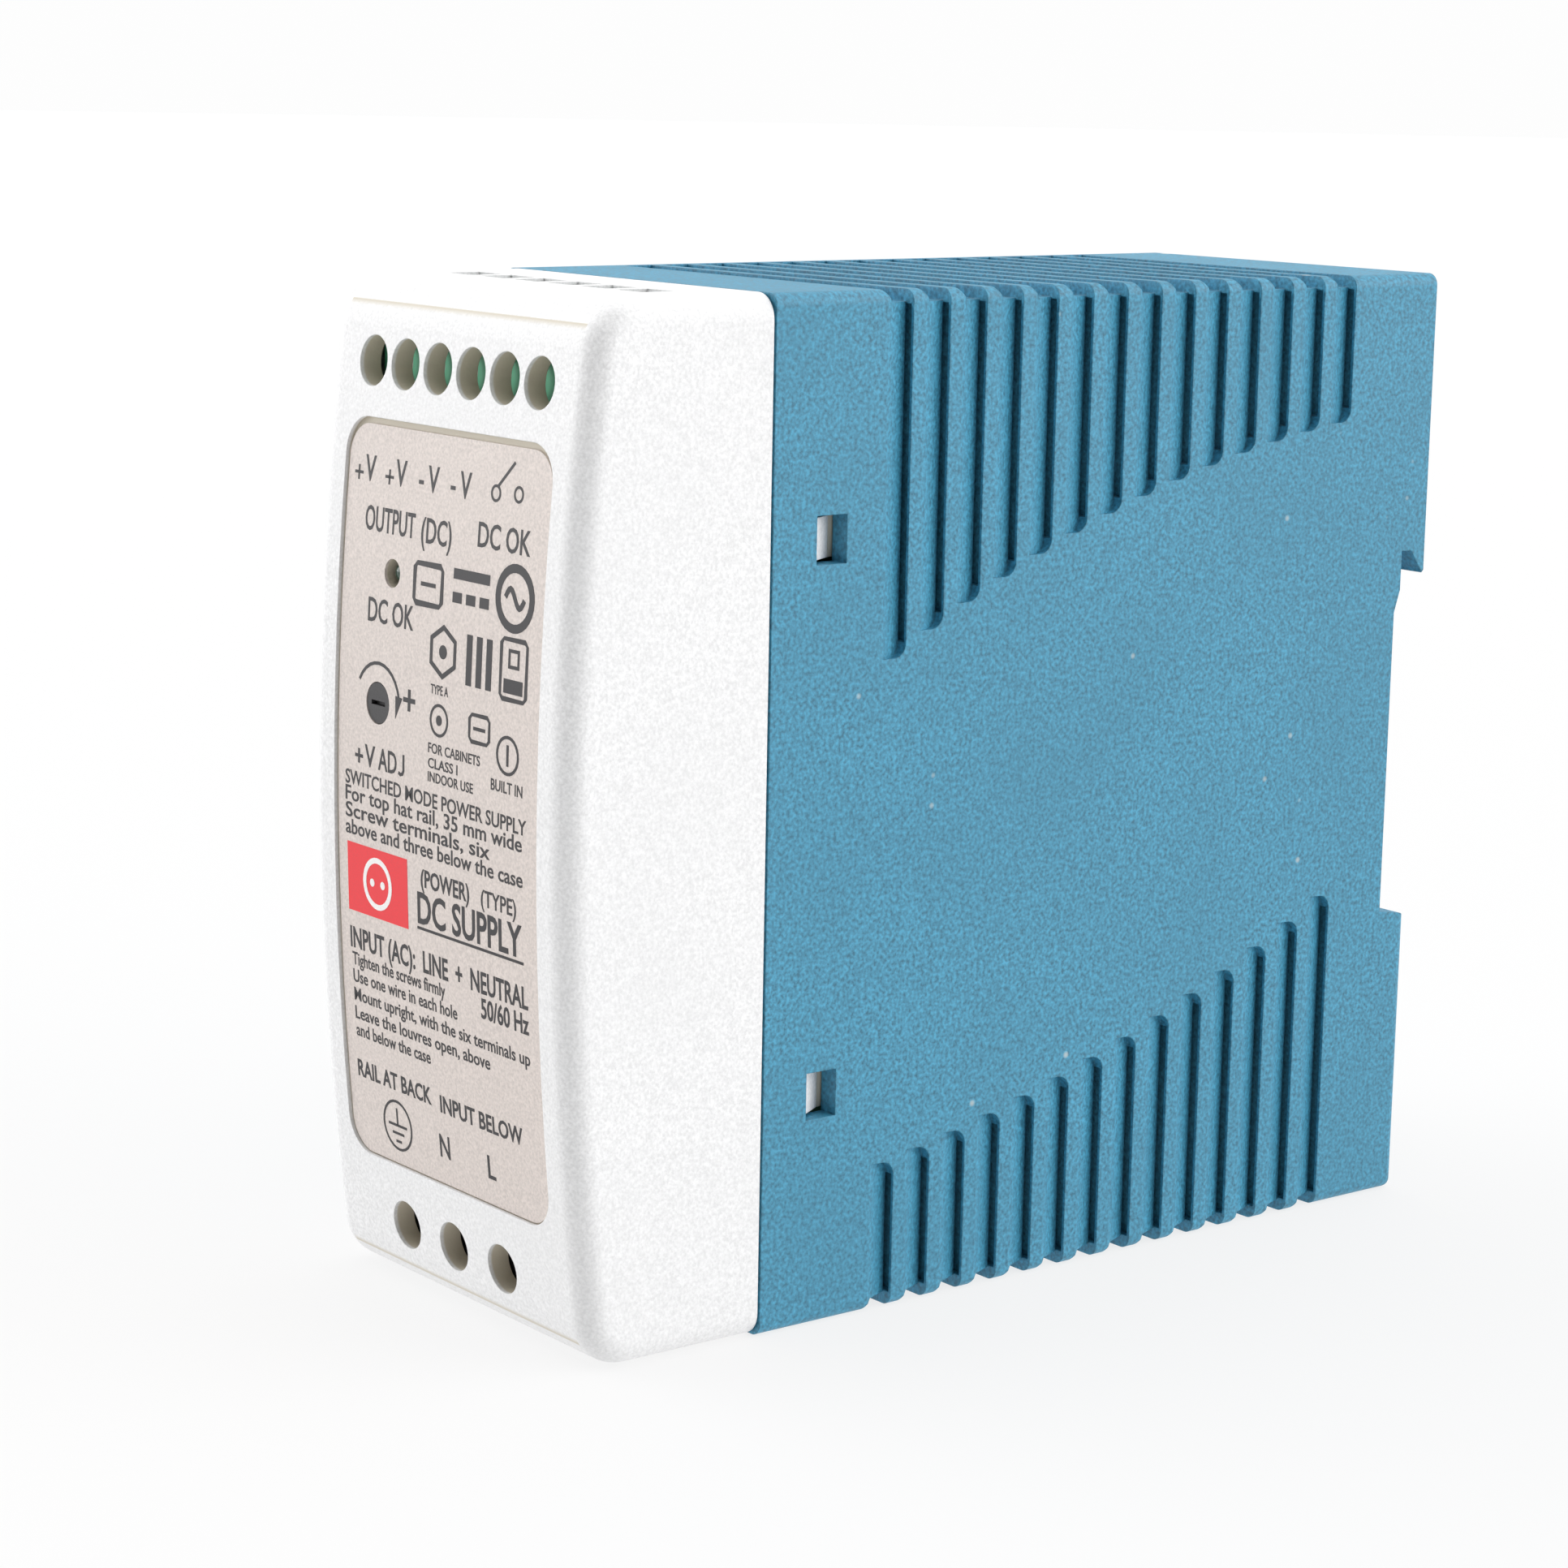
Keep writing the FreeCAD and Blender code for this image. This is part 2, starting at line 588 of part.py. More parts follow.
def level(screw_z, up, low, high):
    """A span of Z, counted from the screw's axis towards the wire entry."""
    ends = (f"{screw_z} + {up} * ({low})", f"{screw_z} + {up} * ({high})")
    return ends if up > 0 else (ends[1], ends[0])


def terminal_screw(label, x, screw_z, head, shank):
    turned = fuse(f"{label}_blank", [
        rod(f"{label}_head", "y", head, (x, HEAD[0], screw_z), f"({HEAD[1]}) - ({HEAD[0]})"),
        rod(f"{label}_shank", "y", shank, (x, HEAD[0], screw_z), f"({SHANK_END}) - ({HEAD[0]})"),
    ])
    slots = [box(f"{label}_slot_{name}", (f"{x} - {wide}", f"{x} + {wide}"),
                 (f"{HEAD[0]} - 1", f"{HEAD[0]} + 0.6"), (f"{screw_z} - {tall}", f"{screw_z} + {tall}"))
             for name, wide, tall in (("across", "3", "0.25"), ("upright", "0.25", "0.95"))]
    return node(label, cut(f"{label}_cut", turned, slots))


def terminal_clamp(label, x, screw_z, half, shank):
    """A rectangular cage that the screw draws towards its head."""
    rim = ("-2.3", "2.3")
    ring = box(f"{label}_blank", (f"{x} - {half}", f"{x} + {half}"), CLAMP,
               (f"{screw_z} + {rim[0]}", f"{screw_z} + {rim[1]}"))
    mouth = box(f"{label}_mouth", (f"{x} - {half} + 0.55", f"{x} + {half} - 0.55"),
                (f"{CLAMP[0]} + 1", f"{CLAMP[1]} - 0.8"),
                (f"{screw_z} - 3", f"{screw_z} + 3"))
    thread = rod(f"{label}_thread", "y", f"{shank} + 0.05", (x, f"{CLAMP[0]} - 1", screw_z), "2.5")
    return node(label, cut(f"{label}_cut", ring, [mouth, thread]))


def terminal_contact(name, x, screw_z, up, half):
    bar = box(f"{name}_bar", (f"{x} - {half}", f"{x} + {half}"), BAR, level(screw_z, up, "-4.15", "2.75"))
    foot = box(f"{name}_foot", (f"{x} - 0.5", f"{x} + 0.5"), (BAR[0], "board_front + board_thick + 1"),
               level(screw_z, up, "-4.15", "-3.45"))
    return fuse(name, [bar, foot])


def terminal_row(prefix, places, pitch, screw_z, up, head, shank, half):
    """One terminal block with its screws, clamps and contacts. up is the side of the wires."""
    wide = f"({pitch} * {len(places)} + 0.32)"
    profile = [("board_front", f"{screw_z} - {up} * 5.75"), ("block_front", f"{screw_z} - {up} * 5.75"),
               ("block_front", f"{screw_z} + {up} * 2.2"),
               ("block_front + block_bevel", f"{screw_z} + {up} * 3.95"),
               ("board_front", f"{screw_z} + {up} * 3.95")]
    blank = prism(f"{prefix}_block", "YZ_Plane", profile, wide, symmetric=True)
    tools, contacts = [], []
    for n, x in enumerate(places, start=1):
        tag = f"{prefix}_{n}"
        tools.append(rod(f"{tag}_bore", "y", f"{head} + 0.3", (x, "block_front - 1", screw_z), "3"))
        tools.append(box(f"{tag}_chamber", (f"{x} - {half} - 0.15", f"{x} + {half} + 0.15"), CHAMBER,
                         level(screw_z, up, "-4.25", "3.0")))
        tools.append(box(f"{tag}_entry", (f"{x} - {half} + 0.25", f"{x} + {half} - 0.25"),
                         (f"{WIRE_Y} - entry_half", f"{WIRE_Y} + entry_half"), level(screw_z, up, "2.5", "5")))
        tools.append(box(f"{tag}_foot_slot", (f"{x} - 0.6", f"{x} + 0.6"),
                         (f"{CHAMBER[1]} - 1", "board_front + 1"), level(screw_z, up, "-4.25", "-3.35")))
        terminal_screw(f"{prefix}_screw_{n}", x, screw_z, head, shank)
        terminal_clamp(f"{prefix}_clamp_{n}", x, screw_z, half, shank)
        contacts.append(terminal_contact(f"{tag}_contact", x, screw_z, up, f"({half} - 0.75)"))
    node(f"{prefix}_terminal_block", cut(f"{prefix}_block_cut", blank, tools))
    node(f"{prefix}_contacts", group(f"{prefix}_contact_set", contacts))


# ---------------------------------------------------------------- boards

BOARD_BACK = "(board_front + board_thick)"
BOARD_FACE = "(main_board_x + board_thick)"
LINK_LEVELS = (11, 14, 17, 25, 47, 61, 64, 73, 76)
LINK_X, LINK_Y = "(main_board_x + 3.4)", "(main_board_front + 3.2)"


def front_board():
    plate = box("front_board_plate", ("-front_board_half", "front_board_half"),
                ("board_front", BOARD_BACK), ("front_board_low", "height - front_board_low"))
    holes = []
    for places, screw_z, up in ((OUT_X, "out_screw_z", 1), (IN_X, "in_screw_z", -1)):
        for n, x in enumerate(places):
            holes.append(rod(f"foot_hole_{up + 1}_{n}", "y", "0.7",
                             (x, "board_front - 1", f"{screw_z} - {up} * 3.8"), "4"))
    for n, z in enumerate(LINK_LEVELS):
        holes.append(rod(f"front_link_hole_{n}", "y", "0.5", (LINK_X, "board_front - 1", z), "4"))
    for n, z in enumerate(("led_z - 0.6", "led_z + 0.6")):
        holes.append(rod(f"led_lead_hole_{n}", "y", "0.35", ("led_x", "board_front - 1", z), "4"))
    return node("front_board", cut("front_board_cut", plate, holes))


def main_board():
    plate = box("main_board_plate", ("main_board_x", BOARD_FACE),
                ("main_board_front", "main_board_back"),
                ("main_board_low", "height - main_board_low"))
    holes = [rod(f"main_link_hole_{n}", "x", "0.5", ("main_board_x - 1", LINK_Y, z), "4")
             for n, z in enumerate(LINK_LEVELS)]
    return node("main_board", cut("main_board_cut", plate, holes))


def link_pins():
    """Square bent pins that carry the current from one board to the other."""
    pins = []
    for n, z in enumerate(LINK_LEVELS):
        tall = (f"{z} - 0.3", f"{z} + 0.3")
        run = box(f"link_run_{n}", (f"{LINK_X} - 0.3", f"{LINK_X} + 0.3"),
                  ("board_front - 0.6", f"{LINK_Y} + 0.3"), tall)
        leg = box(f"link_leg_{n}", ("main_board_x - 0.6", f"{LINK_X} + 0.3"),
                  (f"{LINK_Y} - 0.3", f"{LINK_Y} + 0.3"), tall)
        pins.append(fuse(f"link_pin_{n}", [run, leg]))
    return node("link_pins", group("link_pin_set", pins))


def insulating_sheet():
    outer, inner = "-(width / 2 - wall - 0.4)", "-(width / 2 - wall - 0.7)"
    plan = [(outer, "sheet_front"), (inner, "sheet_front"), (inner, "sheet_back"), (outer, "sheet_back")]
    body = prism("sheet_blank", "XY_Plane", plan, "height - 2 * sheet_low")
    place(body, "0", "0", "sheet_low")
    return node("insulating_sheet", body)


# ---------------------------------------------------------------- lamp and trimmer

def dc_ok_led():
    """A small lamp on long leads, whose domed nose stands in the hole of the cover."""
    centre = f"({arch_y('recess_deep', 'led_z')} + led_nose + 0.25)"
    flange = f"({arch_y('cover_wall', 'led_z')} + 0.6)"
    holder = f"({flange} + 4.9)"
    pieces = [
        ball("led_dome", "led_nose", ("led_x", centre, "led_z")),
        rod("led_barrel", "y", "led_nose", ("led_x", centre, "led_z"), f"{holder} - {centre}"),
        rod("led_flange", "y", "1.9", ("led_x", flange, "led_z"), "1"),
    ]
    leads = ("led_z - 0.6", "led_z + 0.6")
    for n, z in enumerate(leads):
        pieces.append(box(f"led_lead_{n}", ("led_x - 0.2", "led_x + 0.2"),
                          (f"{holder} - 0.5", f"{BOARD_BACK} + 0.8"), (f"{z} - 0.2", f"{z} + 0.2")))
    node("dc_ok_led", fuse("led_whole", pieces))
    tube = rod("led_tube", "y", "2.3", ("led_x", holder, "led_z"), f"board_front - {holder}")
    bores = [rod(f"led_tube_bore_{n}", "y", "0.4", ("led_x", f"{holder} - 1", z), "20")
             for n, z in enumerate(leads)]
    node("led_holder", cut("led_holder_cut", tube, bores))


def trimmer():
    """The output voltage adjuster: a square body, and a slotted spindle flush with the label."""
    case = box("trimmer_case", ("trim_x - 3.3", "trim_x + 3.3"),
               ("board_front - 5.6", "board_front"), ("trim_z - 3.3", "trim_z + 3.3"))
    socket = rod("trimmer_socket", "y", "trim_spindle + 0.05",
                 ("trim_x", "board_front - 7", "trim_z"), "4.2")
    node("trimmer_body", cut("trimmer_cut", case, [socket]))
    face = f"({arch_y('recess_deep', 'trim_z')} - label_thick + 0.06)"
    spindle = rod("rotor_spindle", "y", "trim_spindle", ("trim_x", face, "trim_z"),
                  f"board_front - 3 - {face}")
    slot = box("rotor_slot", ("trim_x - 1.1", "trim_x + 1.1"), (f"{face} - 1", f"{face} + 0.5"),
               ("trim_z - 0.2", "trim_z + 0.2"))
    node("trimmer_rotor", cut("rotor_cut", spindle, [slot]))


# ---------------------------------------------------------------- parts on the main board

def chip(label, y, z, tall):
    """A moulded part that stands on the main board."""
    return node(label, box(f"{label}_body", (BOARD_FACE, f"{BOARD_FACE} + {tall}"), y, z))


def can(label, radius, y, z, tall):
    """An electrolytic capacitor standing on its end, with a crimp groove in its sleeve."""
    sleeve = rod(f"{label}_sleeve", "x", radius, (BOARD_FACE, y, z), tall)
    ring = doc.addObject("Part::Torus", f"{label}_crimp")
    ring.Placement = FreeCAD.Placement(FreeCAD.Vector(), AXES["x"])
    ring.setExpression("Radius1", linked(f"{radius} + 0.2"))
    ring.Radius2 = 0.6
    place(ring, f"{BOARD_FACE} + 2.5", y, z)
    return node(label, cut(f"{label}_cut", sleeve, [ring]))


# Moulded parts: their spans along Y and Z, and how far they stand off the board.
CHIPS = {
    "line_capacitor": (("3", "21"), ("5.5", "13.5"), "15"),
    "bridge_rectifier": (("-26", "-5"), ("18.5", "22"), "17"),
    "alarm_relay": (("-26", "-11"), ("52", "62"), "12"),
    "optocoupler": (("-8", "-3.5"), ("62.5", "69"), "3.6"),
    "controller_chip": (("28", "33"), ("30", "36"), "1.6"),
}
# Electrolytic capacitors: their radius, the Y and Z of their axis, and their length.
CANS = {
    "bulk_capacitor": ("9", "-14", "36", "30"),
    "output_capacitor_1": ("5", "-22", "79.5", "20"),
    "output_capacitor_2": ("5", "-10.5", "79.5", "20"),
    "output_capacitor_3": ("5", "1", "79.5", "20"),
}


def disc(name, radius, y, z, thick):
    return rod(name, "y", radius, (f"{BOARD_FACE} + {radius} + 0.8", y, z), thick)


def input_parts():
    glass = rod("fuse_tube", "y", "2.4", (f"{BOARD_FACE} + 3.4", "-26", "9"), "20")
    caps = [rod(f"fuse_cap_{n}", "y", "2.7", (f"{BOARD_FACE} + 3.4", y, "9"), "5")
            for n, y in enumerate(("-26", "-11"))]
    clips = [box(f"fuse_clip_{n}", (BOARD_FACE, f"{BOARD_FACE} + 2"), (y, f"{y} + 3"), ("7", "11"))
             for n, y in enumerate(("-25", "-10"))]
    node("input_fuse", fuse("fuse_whole", [glass] + caps + clips))
    node("thermistor", fuse("thermistor_whole", [
        disc("thermistor_disc", "5.5", "-4", "11.5", "4"),
        box("thermistor_leads", (BOARD_FACE, f"{BOARD_FACE} + 3"), ("-2.4", "-1.6"), ("9", "14"))]))
    node("safety_capacitors", group("safety_capacitor_set", [
        disc("safety_disc_a", "4", "23", "10", "3.5"), disc("safety_disc_b", "4", "23", "20", "3.5")]))
    frame = box("choke_frame", (f"{BOARD_FACE} + 1", f"{BOARD_FACE} + 19"), ("3", "21"), ("20.5", "25.5"))
    eye = box("choke_eye", (f"{BOARD_FACE} + 6", f"{BOARD_FACE} + 14"), ("7.5", "16.5"), ("19", "27"))
    node("choke_core", cut("choke_core_cut", frame, [eye]))
    coils = []
    for n, y in enumerate(("5.25", "18.75")):
        coil = box(f"choke_coil_{n}", (f"{BOARD_FACE} + 6.3", f"{BOARD_FACE} + 13.7"),
                   (f"{y} - 4", f"{y} + 4"), ("17", "29"))
        bore = box(f"choke_bore_{n}", (f"{BOARD_FACE} + 6", f"{BOARD_FACE} + 14"),
                   (f"{y} - 2.3", f"{y} + 2.3"), ("20.4", "25.6"))
        coils.append(cut(f"choke_winding_{n}", coil, [bore]))
    node("choke_windings", group("choke_winding_set", coils))


def heatsink(label, y, z, tall):
    """A bent aluminium plate: a tall wall with a short foot against the board."""
    wall = box(f"{label}_wall", (BOARD_FACE, f"{BOARD_FACE} + {tall}"), y, (z, f"{z} + 2"))
    foot = box(f"{label}_foot", (BOARD_FACE, f"{BOARD_FACE} + 1.5"), y, (z, f"{z} + 3"))
    hole = rod(f"{label}_hole", "z", "1.6", (f"{BOARD_FACE} + 17", f"({y[0]} + {y[1]}) / 2", f"{z} - 1"), "4")
    return node(label, cut(f"{label}_cut", fuse(f"{label}_bent", [wall, foot]), [hole]))


def power_device(label, y, z):
    """A flat moulded device with a mounting hole and three legs, screwed under a heatsink."""
    body = box(f"{label}_mould", (f"{BOARD_FACE} + 5", f"{BOARD_FACE} + 20"),
               (f"{y} - 5", f"{y} + 5"), (f"{z} - 4.4", z))
    legs = [box(f"{label}_leg_{n}", (BOARD_FACE, f"{BOARD_FACE} + 5.5"),
                (f"{y} + {n} * 2.54 - 0.4", f"{y} + {n} * 2.54 + 0.4"), (f"{z} - 2.9", f"{z} - 2.4"))
            for n in (-1, 0, 1)]
    hole = rod(f"{label}_hole", "z", "1.6", (f"{BOARD_FACE} + 17", y, f"{z} - 6"), "8")
    return node(label, cut(f"{label}_cut", fuse(f"{label}_whole", [body] + legs), [hole]))


def heatsink_screw(name, y, z):
    start = (f"{BOARD_FACE} + 17", y, f"{z} - 6.4")
    return fuse(name, [rod(f"{name}_head", "z", "2.8", start, "2"),
                       rod(f"{name}_shank", "z", "1.5", start, "9.5")])


def power_parts():
    heatsink("primary_heatsink", ("26", "42"), "44", "28")
    power_device("switching_transistor", "34", "44")
    heatsink("secondary_heatsink", ("-4", "22"), "70", "28")
    power_device("output_rectifier", "9", "70")
    node("heatsink_screws", group("heatsink_screw_set", [
        heatsink_screw("heatsink_screw_a", "34", "44"), heatsink_screw("heatsink_screw_b", "9", "70")]))


def transformer():
    low, high = f"{BOARD_FACE} + 3", f"{BOARD_FACE} + 25"
    frame = box("core_frame", (low, high), ("-3", "23"), ("42", "54"))
    eye = box("core_eye", (f"{low} + 4", f"{high} - 4"), ("0.5", "19.5"), ("41", "55"))
    leg = box("core_leg", (f"{low} + 3", f"{high} - 3"), ("7.5", "12.5"), ("42", "54"))
    node("transformer_core", fuse("core_whole", [cut("core_open", frame, [eye]), leg]))
    spool = [box("bobbin_tube", (f"{low} + 4.2", f"{high} - 4.2"), ("5.7", "14.3"), ("40.5", "55.5")),
             box("bobbin_foot", (BOARD_FACE, f"{BOARD_FACE} + 2.8"), ("-2", "22"), ("36", "60"))]
    for n, x in enumerate((f"{low} + 4.2", f"{high} - 5.4")):
        spool.append(box(f"bobbin_cheek_{n}", (x, f"{x} + 1.2"), ("0.7", "19.3"), ("36", "60")))
    for n, z in enumerate(("36", "58.8")):
        spool.append(box(f"bobbin_post_{n}", (f"{BOARD_FACE} + 1", f"{low} + 5"), ("2", "18"), (z, f"{z} + 1.2")))
    bore = box("bobbin_bore", (f"{low} + 2", f"{high} - 2"), ("7.3", "12.7"), ("41.8", "54.2"))
    node("transformer_bobbin", cut("bobbin_cut", fuse("bobbin_whole", spool), [bore]))
    coil = box("winding_blank", (f"{low} + 5.5", f"{high} - 5.5"), ("1.2", "18.8"), ("37.3", "58.7"))
    room = box("winding_room", (f"{low} + 5", f"{high} - 5"), ("5.6", "14.4"), ("40.4", "55.6"))
    node("transformer_winding", cut("winding_cut", coil, [room]))


def output_inductor():
    node("output_inductor", fuse("inductor_whole", [
        rod("inductor_drum", "x", "4", (BOARD_FACE, "15", "79.5"), "14"),
        rod("inductor_cheek_a", "x", "5.5", (BOARD_FACE, "15", "79.5"), "1.6"),
        rod("inductor_cheek_b", "x", "5.5", (f"{BOARD_FACE} + 12.4", "15", "79.5"), "1.6")]))


# ---------------------------------------------------------------- build, check and write

rear_case()
front_cover()
front_label()
rail_latch()
latch_spring()
terminal_row("output", OUT_X, "out_pitch", "out_screw_z", 1, "1.65", "1.2", "1.95")
terminal_row("input", IN_X, "in_pitch", "in_screw_z", -1, "1.9", "1.45", "2.6")
front_board()
main_board()
link_pins()
insulating_sheet()
dc_ok_led()
trimmer()
input_parts()
power_parts()
transformer()
output_inductor()
for label, (along_y, along_z, tall) in CHIPS.items():
    chip(label, along_y, along_z, tall)
for label, (radius, along_y, along_z, tall) in CANS.items():
    can(label, radius, along_y, along_z, tall)
doc.recompute()

faults = [f"{obj.Name}: {obj.State}" for obj in doc.Objects
          if any(word in obj.State for word in ("Invalid", "Error"))]
for label, obj in parts.items():
    if obj.Shape.isNull() or not obj.Shape.isValid() or obj.Label != label:
        faults.append(f"{label}: bad shape or name")
if faults:
    raise RuntimeError("\n".join(faults))

os.makedirs("parts", exist_ok=True)
for label, obj in parts.items():
    obj.Shape.exportStep(f"parts/{label}.step")
print(f"{len(parts)} sub-parts written")
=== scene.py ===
import json
import math

import bmesh
import bpy
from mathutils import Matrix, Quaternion, Vector
from mathutils.bvhtree import BVHTree


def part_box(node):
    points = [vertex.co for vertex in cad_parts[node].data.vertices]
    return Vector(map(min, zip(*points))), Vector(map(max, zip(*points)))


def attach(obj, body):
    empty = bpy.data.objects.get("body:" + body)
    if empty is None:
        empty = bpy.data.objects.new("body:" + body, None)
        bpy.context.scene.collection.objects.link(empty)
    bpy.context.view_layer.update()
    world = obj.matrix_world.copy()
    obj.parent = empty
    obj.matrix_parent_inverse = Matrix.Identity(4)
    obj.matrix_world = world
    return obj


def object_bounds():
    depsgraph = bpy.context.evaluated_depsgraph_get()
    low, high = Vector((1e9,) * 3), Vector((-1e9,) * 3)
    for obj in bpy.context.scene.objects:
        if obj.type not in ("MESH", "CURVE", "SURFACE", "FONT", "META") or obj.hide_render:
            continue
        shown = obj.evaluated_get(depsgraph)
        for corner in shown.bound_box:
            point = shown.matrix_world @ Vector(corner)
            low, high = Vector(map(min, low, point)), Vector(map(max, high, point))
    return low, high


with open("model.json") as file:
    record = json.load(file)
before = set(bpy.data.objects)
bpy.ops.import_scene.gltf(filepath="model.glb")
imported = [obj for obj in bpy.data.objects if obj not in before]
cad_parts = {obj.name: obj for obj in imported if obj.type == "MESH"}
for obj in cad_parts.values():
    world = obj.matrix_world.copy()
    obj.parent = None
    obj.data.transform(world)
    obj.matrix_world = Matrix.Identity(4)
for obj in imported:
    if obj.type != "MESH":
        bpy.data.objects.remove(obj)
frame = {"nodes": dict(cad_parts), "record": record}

CAD_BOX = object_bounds()
MM = 0.001
ARCH_FALL = 3.17 * MM     # how far the front falls back at its top and bottom
WALL = 2.1 * MM           # thickness of the cover
ROOT = "housing"
WHITE_LIGHT = (1, 1, 1, 1)

# Base colours of the pieces that the outside shows.
CASE_TEAL, CASE_SPECK = (0.052, 0.260, 0.400), (0.55, 0.60, 0.58)
# The cover's second colour is painted shade: its white plastic darkened to grey beige inside holes and
# windows.
COVER_WHITE, HOLE_WALL_SHADE = (0.83, 0.83, 0.835), (0.60, 0.55, 0.45)
LABEL_GREY = (0.660, 0.590, 0.552)
INK_DARK, BADGE_RED, BADGE_WHITE = (0.030, 0.028, 0.031), (0.80, 0.030, 0.040), (0.86, 0.85, 0.84)


# ---------------------------------------------------------------- node materials

class Finish:
    """One node material: a Principled shader, whose patterns are laid out in the frame's own metres."""

    def __init__(self, name, metallic=0.0, **sockets):
        self.material = bpy.data.materials.new(name)
        self.material.use_nodes = True
        self.nodes = self.material.node_tree.nodes
        self.nodes.clear()
        self.shader = self.add("ShaderNodeBsdfPrincipled")
        output = self.add("ShaderNodeOutputMaterial")
        self.link(self.shader.outputs[0], output.inputs["Surface"])
        self.shader.inputs["Metallic"].default_value = metallic
        for socket, amount in sockets.items():
            self.shader.inputs[socket.replace("_", " ")].default_value = amount
        self.place = self.add("ShaderNodeTexCoord").outputs["Object"]
        self.height = None

    def add(self, kind, **settings):
        made = self.nodes.new(kind)
        for setting, choice in settings.items():
            setattr(made, setting, choice)
        return made

    def link(self, source, target):
        self.material.node_tree.links.new(source, target)

    def stretched(self, stretch):
        """The place, drawn out along each axis by the given factors."""
        if stretch == (1, 1, 1):
            return self.place
        mapping = self.add("ShaderNodeMapping")
        mapping.inputs["Scale"].default_value = [1 / s for s in stretch]
        self.link(self.place, mapping.inputs["Vector"])
        return mapping.outputs[0]

    def noise(self, size, detail=3.0, stretch=(1, 1, 1)):
        """Cloudy noise from 0 to 1, with lumps of about this size."""
        made = self.add("ShaderNodeTexNoise")
        made.inputs["Scale"].default_value = 1 / size
        made.inputs["Detail"].default_value = detail
        self.link(self.stretched(stretch), made.inputs["Vector"])
        return made.outputs[0]

    def specks(self, size, share):
        """1 in small scattered dots and 0 elsewhere; share is about the part of the cells that hold one."""
        cells = self.add("ShaderNodeTexVoronoi")
        cells.inputs["Scale"].default_value = 1 / size
        self.link(self.place, cells.inputs["Vector"])
        near = self.ranged(cells.outputs["Distance"], 0.10, 0.16, 1.0, 0.0)
        chance = self.add("ShaderNodeSeparateColor")
        self.link(cells.outputs["Color"], chance.inputs[0])
        chosen = self.add("ShaderNodeMath", operation="LESS_THAN")
        self.link(chance.outputs[0], chosen.inputs[0])
        chosen.inputs[1].default_value = share
        return self.product(near, chosen.outputs[0])

    def bands(self, size, direction):
        """Even bands from 0 to 1, one to each size, across an axis."""
        wave = self.add("ShaderNodeTexWave", bands_direction=direction)
        wave.inputs["Scale"].default_value = math.pi / (10 * size)
        wave.inputs["Distortion"].default_value = 0.4
        wave.inputs["Detail Scale"].default_value = 200.0
        self.link(self.place, wave.inputs["Vector"])
        return wave.outputs["Fac"]

    def product(self, one, other):
        made = self.add("ShaderNodeMath", operation="MULTIPLY")
        self.link(one, made.inputs[0])
        self.link(other, made.inputs[1])
        return made.outputs[0]

    def ranged(self, source, low, high, to_low, to_high):
        made = self.add("ShaderNodeMapRange")
        for socket, amount in zip(list(made.inputs)[1:5], (low, high, to_low, to_high)):
            socket.default_value = amount
        self.link(source, made.inputs[0])
        return made.outputs[0]

    def mixed(self, share, one, other):
        """A colour that goes from one to the other as share goes from 0 to 1."""
        made = self.add("ShaderNodeMix", data_type="RGBA")
        colours = [socket for socket in made.inputs if socket.type == "RGBA"]
        for socket, colour in zip(colours, (one, other)):
            if isinstance(colour, tuple):
                socket.default_value = (*colour, 1)
            else:
                self.link(colour, socket)
        self.link(share, made.inputs[0])
        return [socket for socket in made.outputs if socket.type == "RGBA"][0]

    def colour(self, source):
        self.link(source, self.shader.inputs["Base Color"])

    def worn_edges(self, radius):
        """Softens the look of sharp edges, as a mould leaves them."""
        edges = self.add("ShaderNodeBevel", samples=4)
        edges.inputs["Radius"].default_value = radius
        self.height = edges.outputs[0]

    def roughness(self, source, low, high):
        self.link(self.ranged(source, 0.3, 0.7, low, high), self.shader.inputs["Roughness"])

    def bump(self, source, depth):
        """Adds relief: the source's whole range stands this far proud."""
        made = self.add("ShaderNodeBump")
        made.inputs["Strength"].default_value = 1.0
        made.inputs["Distance"].default_value = depth
        self.link(source, made.inputs["Height"])
        if self.height is not None:
            self.link(self.height, made.inputs["Normal"])
        self.height = made.outputs[0]
        self.link(self.height, self.shader.inputs["Normal"])


def shade(colour, factor):
    return tuple(min(1.0, part * factor) for part in colour)


def moulded(name, colour, rough, grain=0.35 * MM, depth=0.006 * MM, cloud=0.05, **sockets):
    """Moulded plastic: a fine spark-eroded grain over a faint cloudiness."""
    made = Finish(name, **sockets)
    broad = made.noise(14 * MM, 2.0)
    fine = made.noise(grain, 2.0)
    tone = made.ranged(broad, 0.3, 0.7, 0.0, 1.0)
    made.colour(made.mixed(tone, shade(colour, 1 - cloud), shade(colour, 1 + cloud)))
    made.roughness(fine, rough - 0.05, rough + 0.07)
    made.bump(broad, 0.02 * MM)
    made.bump(fine, depth)
    return made


def grained(made, colour, size, depth, contrast, rough):
    """The visible grain of an eroded mould on a finish, in its tone, its gloss and its relief."""
    broad = made.noise(18 * MM, 2.0)
    fine = made.noise(size, 2.5)
    tone = made.ranged(fine, 0.3, 0.7, 0.0, 1.0)
    body = made.mixed(tone, shade(colour, 1 - contrast), shade(colour, 1 + contrast))
    body = made.mixed(made.ranged(broad, 0.3, 0.7, 0.0, 0.35), body, shade(colour, 1 - contrast / 2))
    made.roughness(fine, rough - 0.07, rough + 0.07)
    made.bump(broad, 0.03 * MM)
    made.bump(fine, depth)
    return body


def case_plastic():
    """The teal case: a strong grain, a few pale specks, and edges that the mould has rounded."""
    made = Finish("case_teal", Specular_IOR_Level=0.5)
    made.worn_edges(0.16 * MM)
    body = grained(made, CASE_TEAL, 0.34 * MM, 0.026 * MM, 0.45, 0.47)
    made.colour(made.mixed(made.specks(3.4 * MM, 0.05), body, CASE_SPECK))
    return made


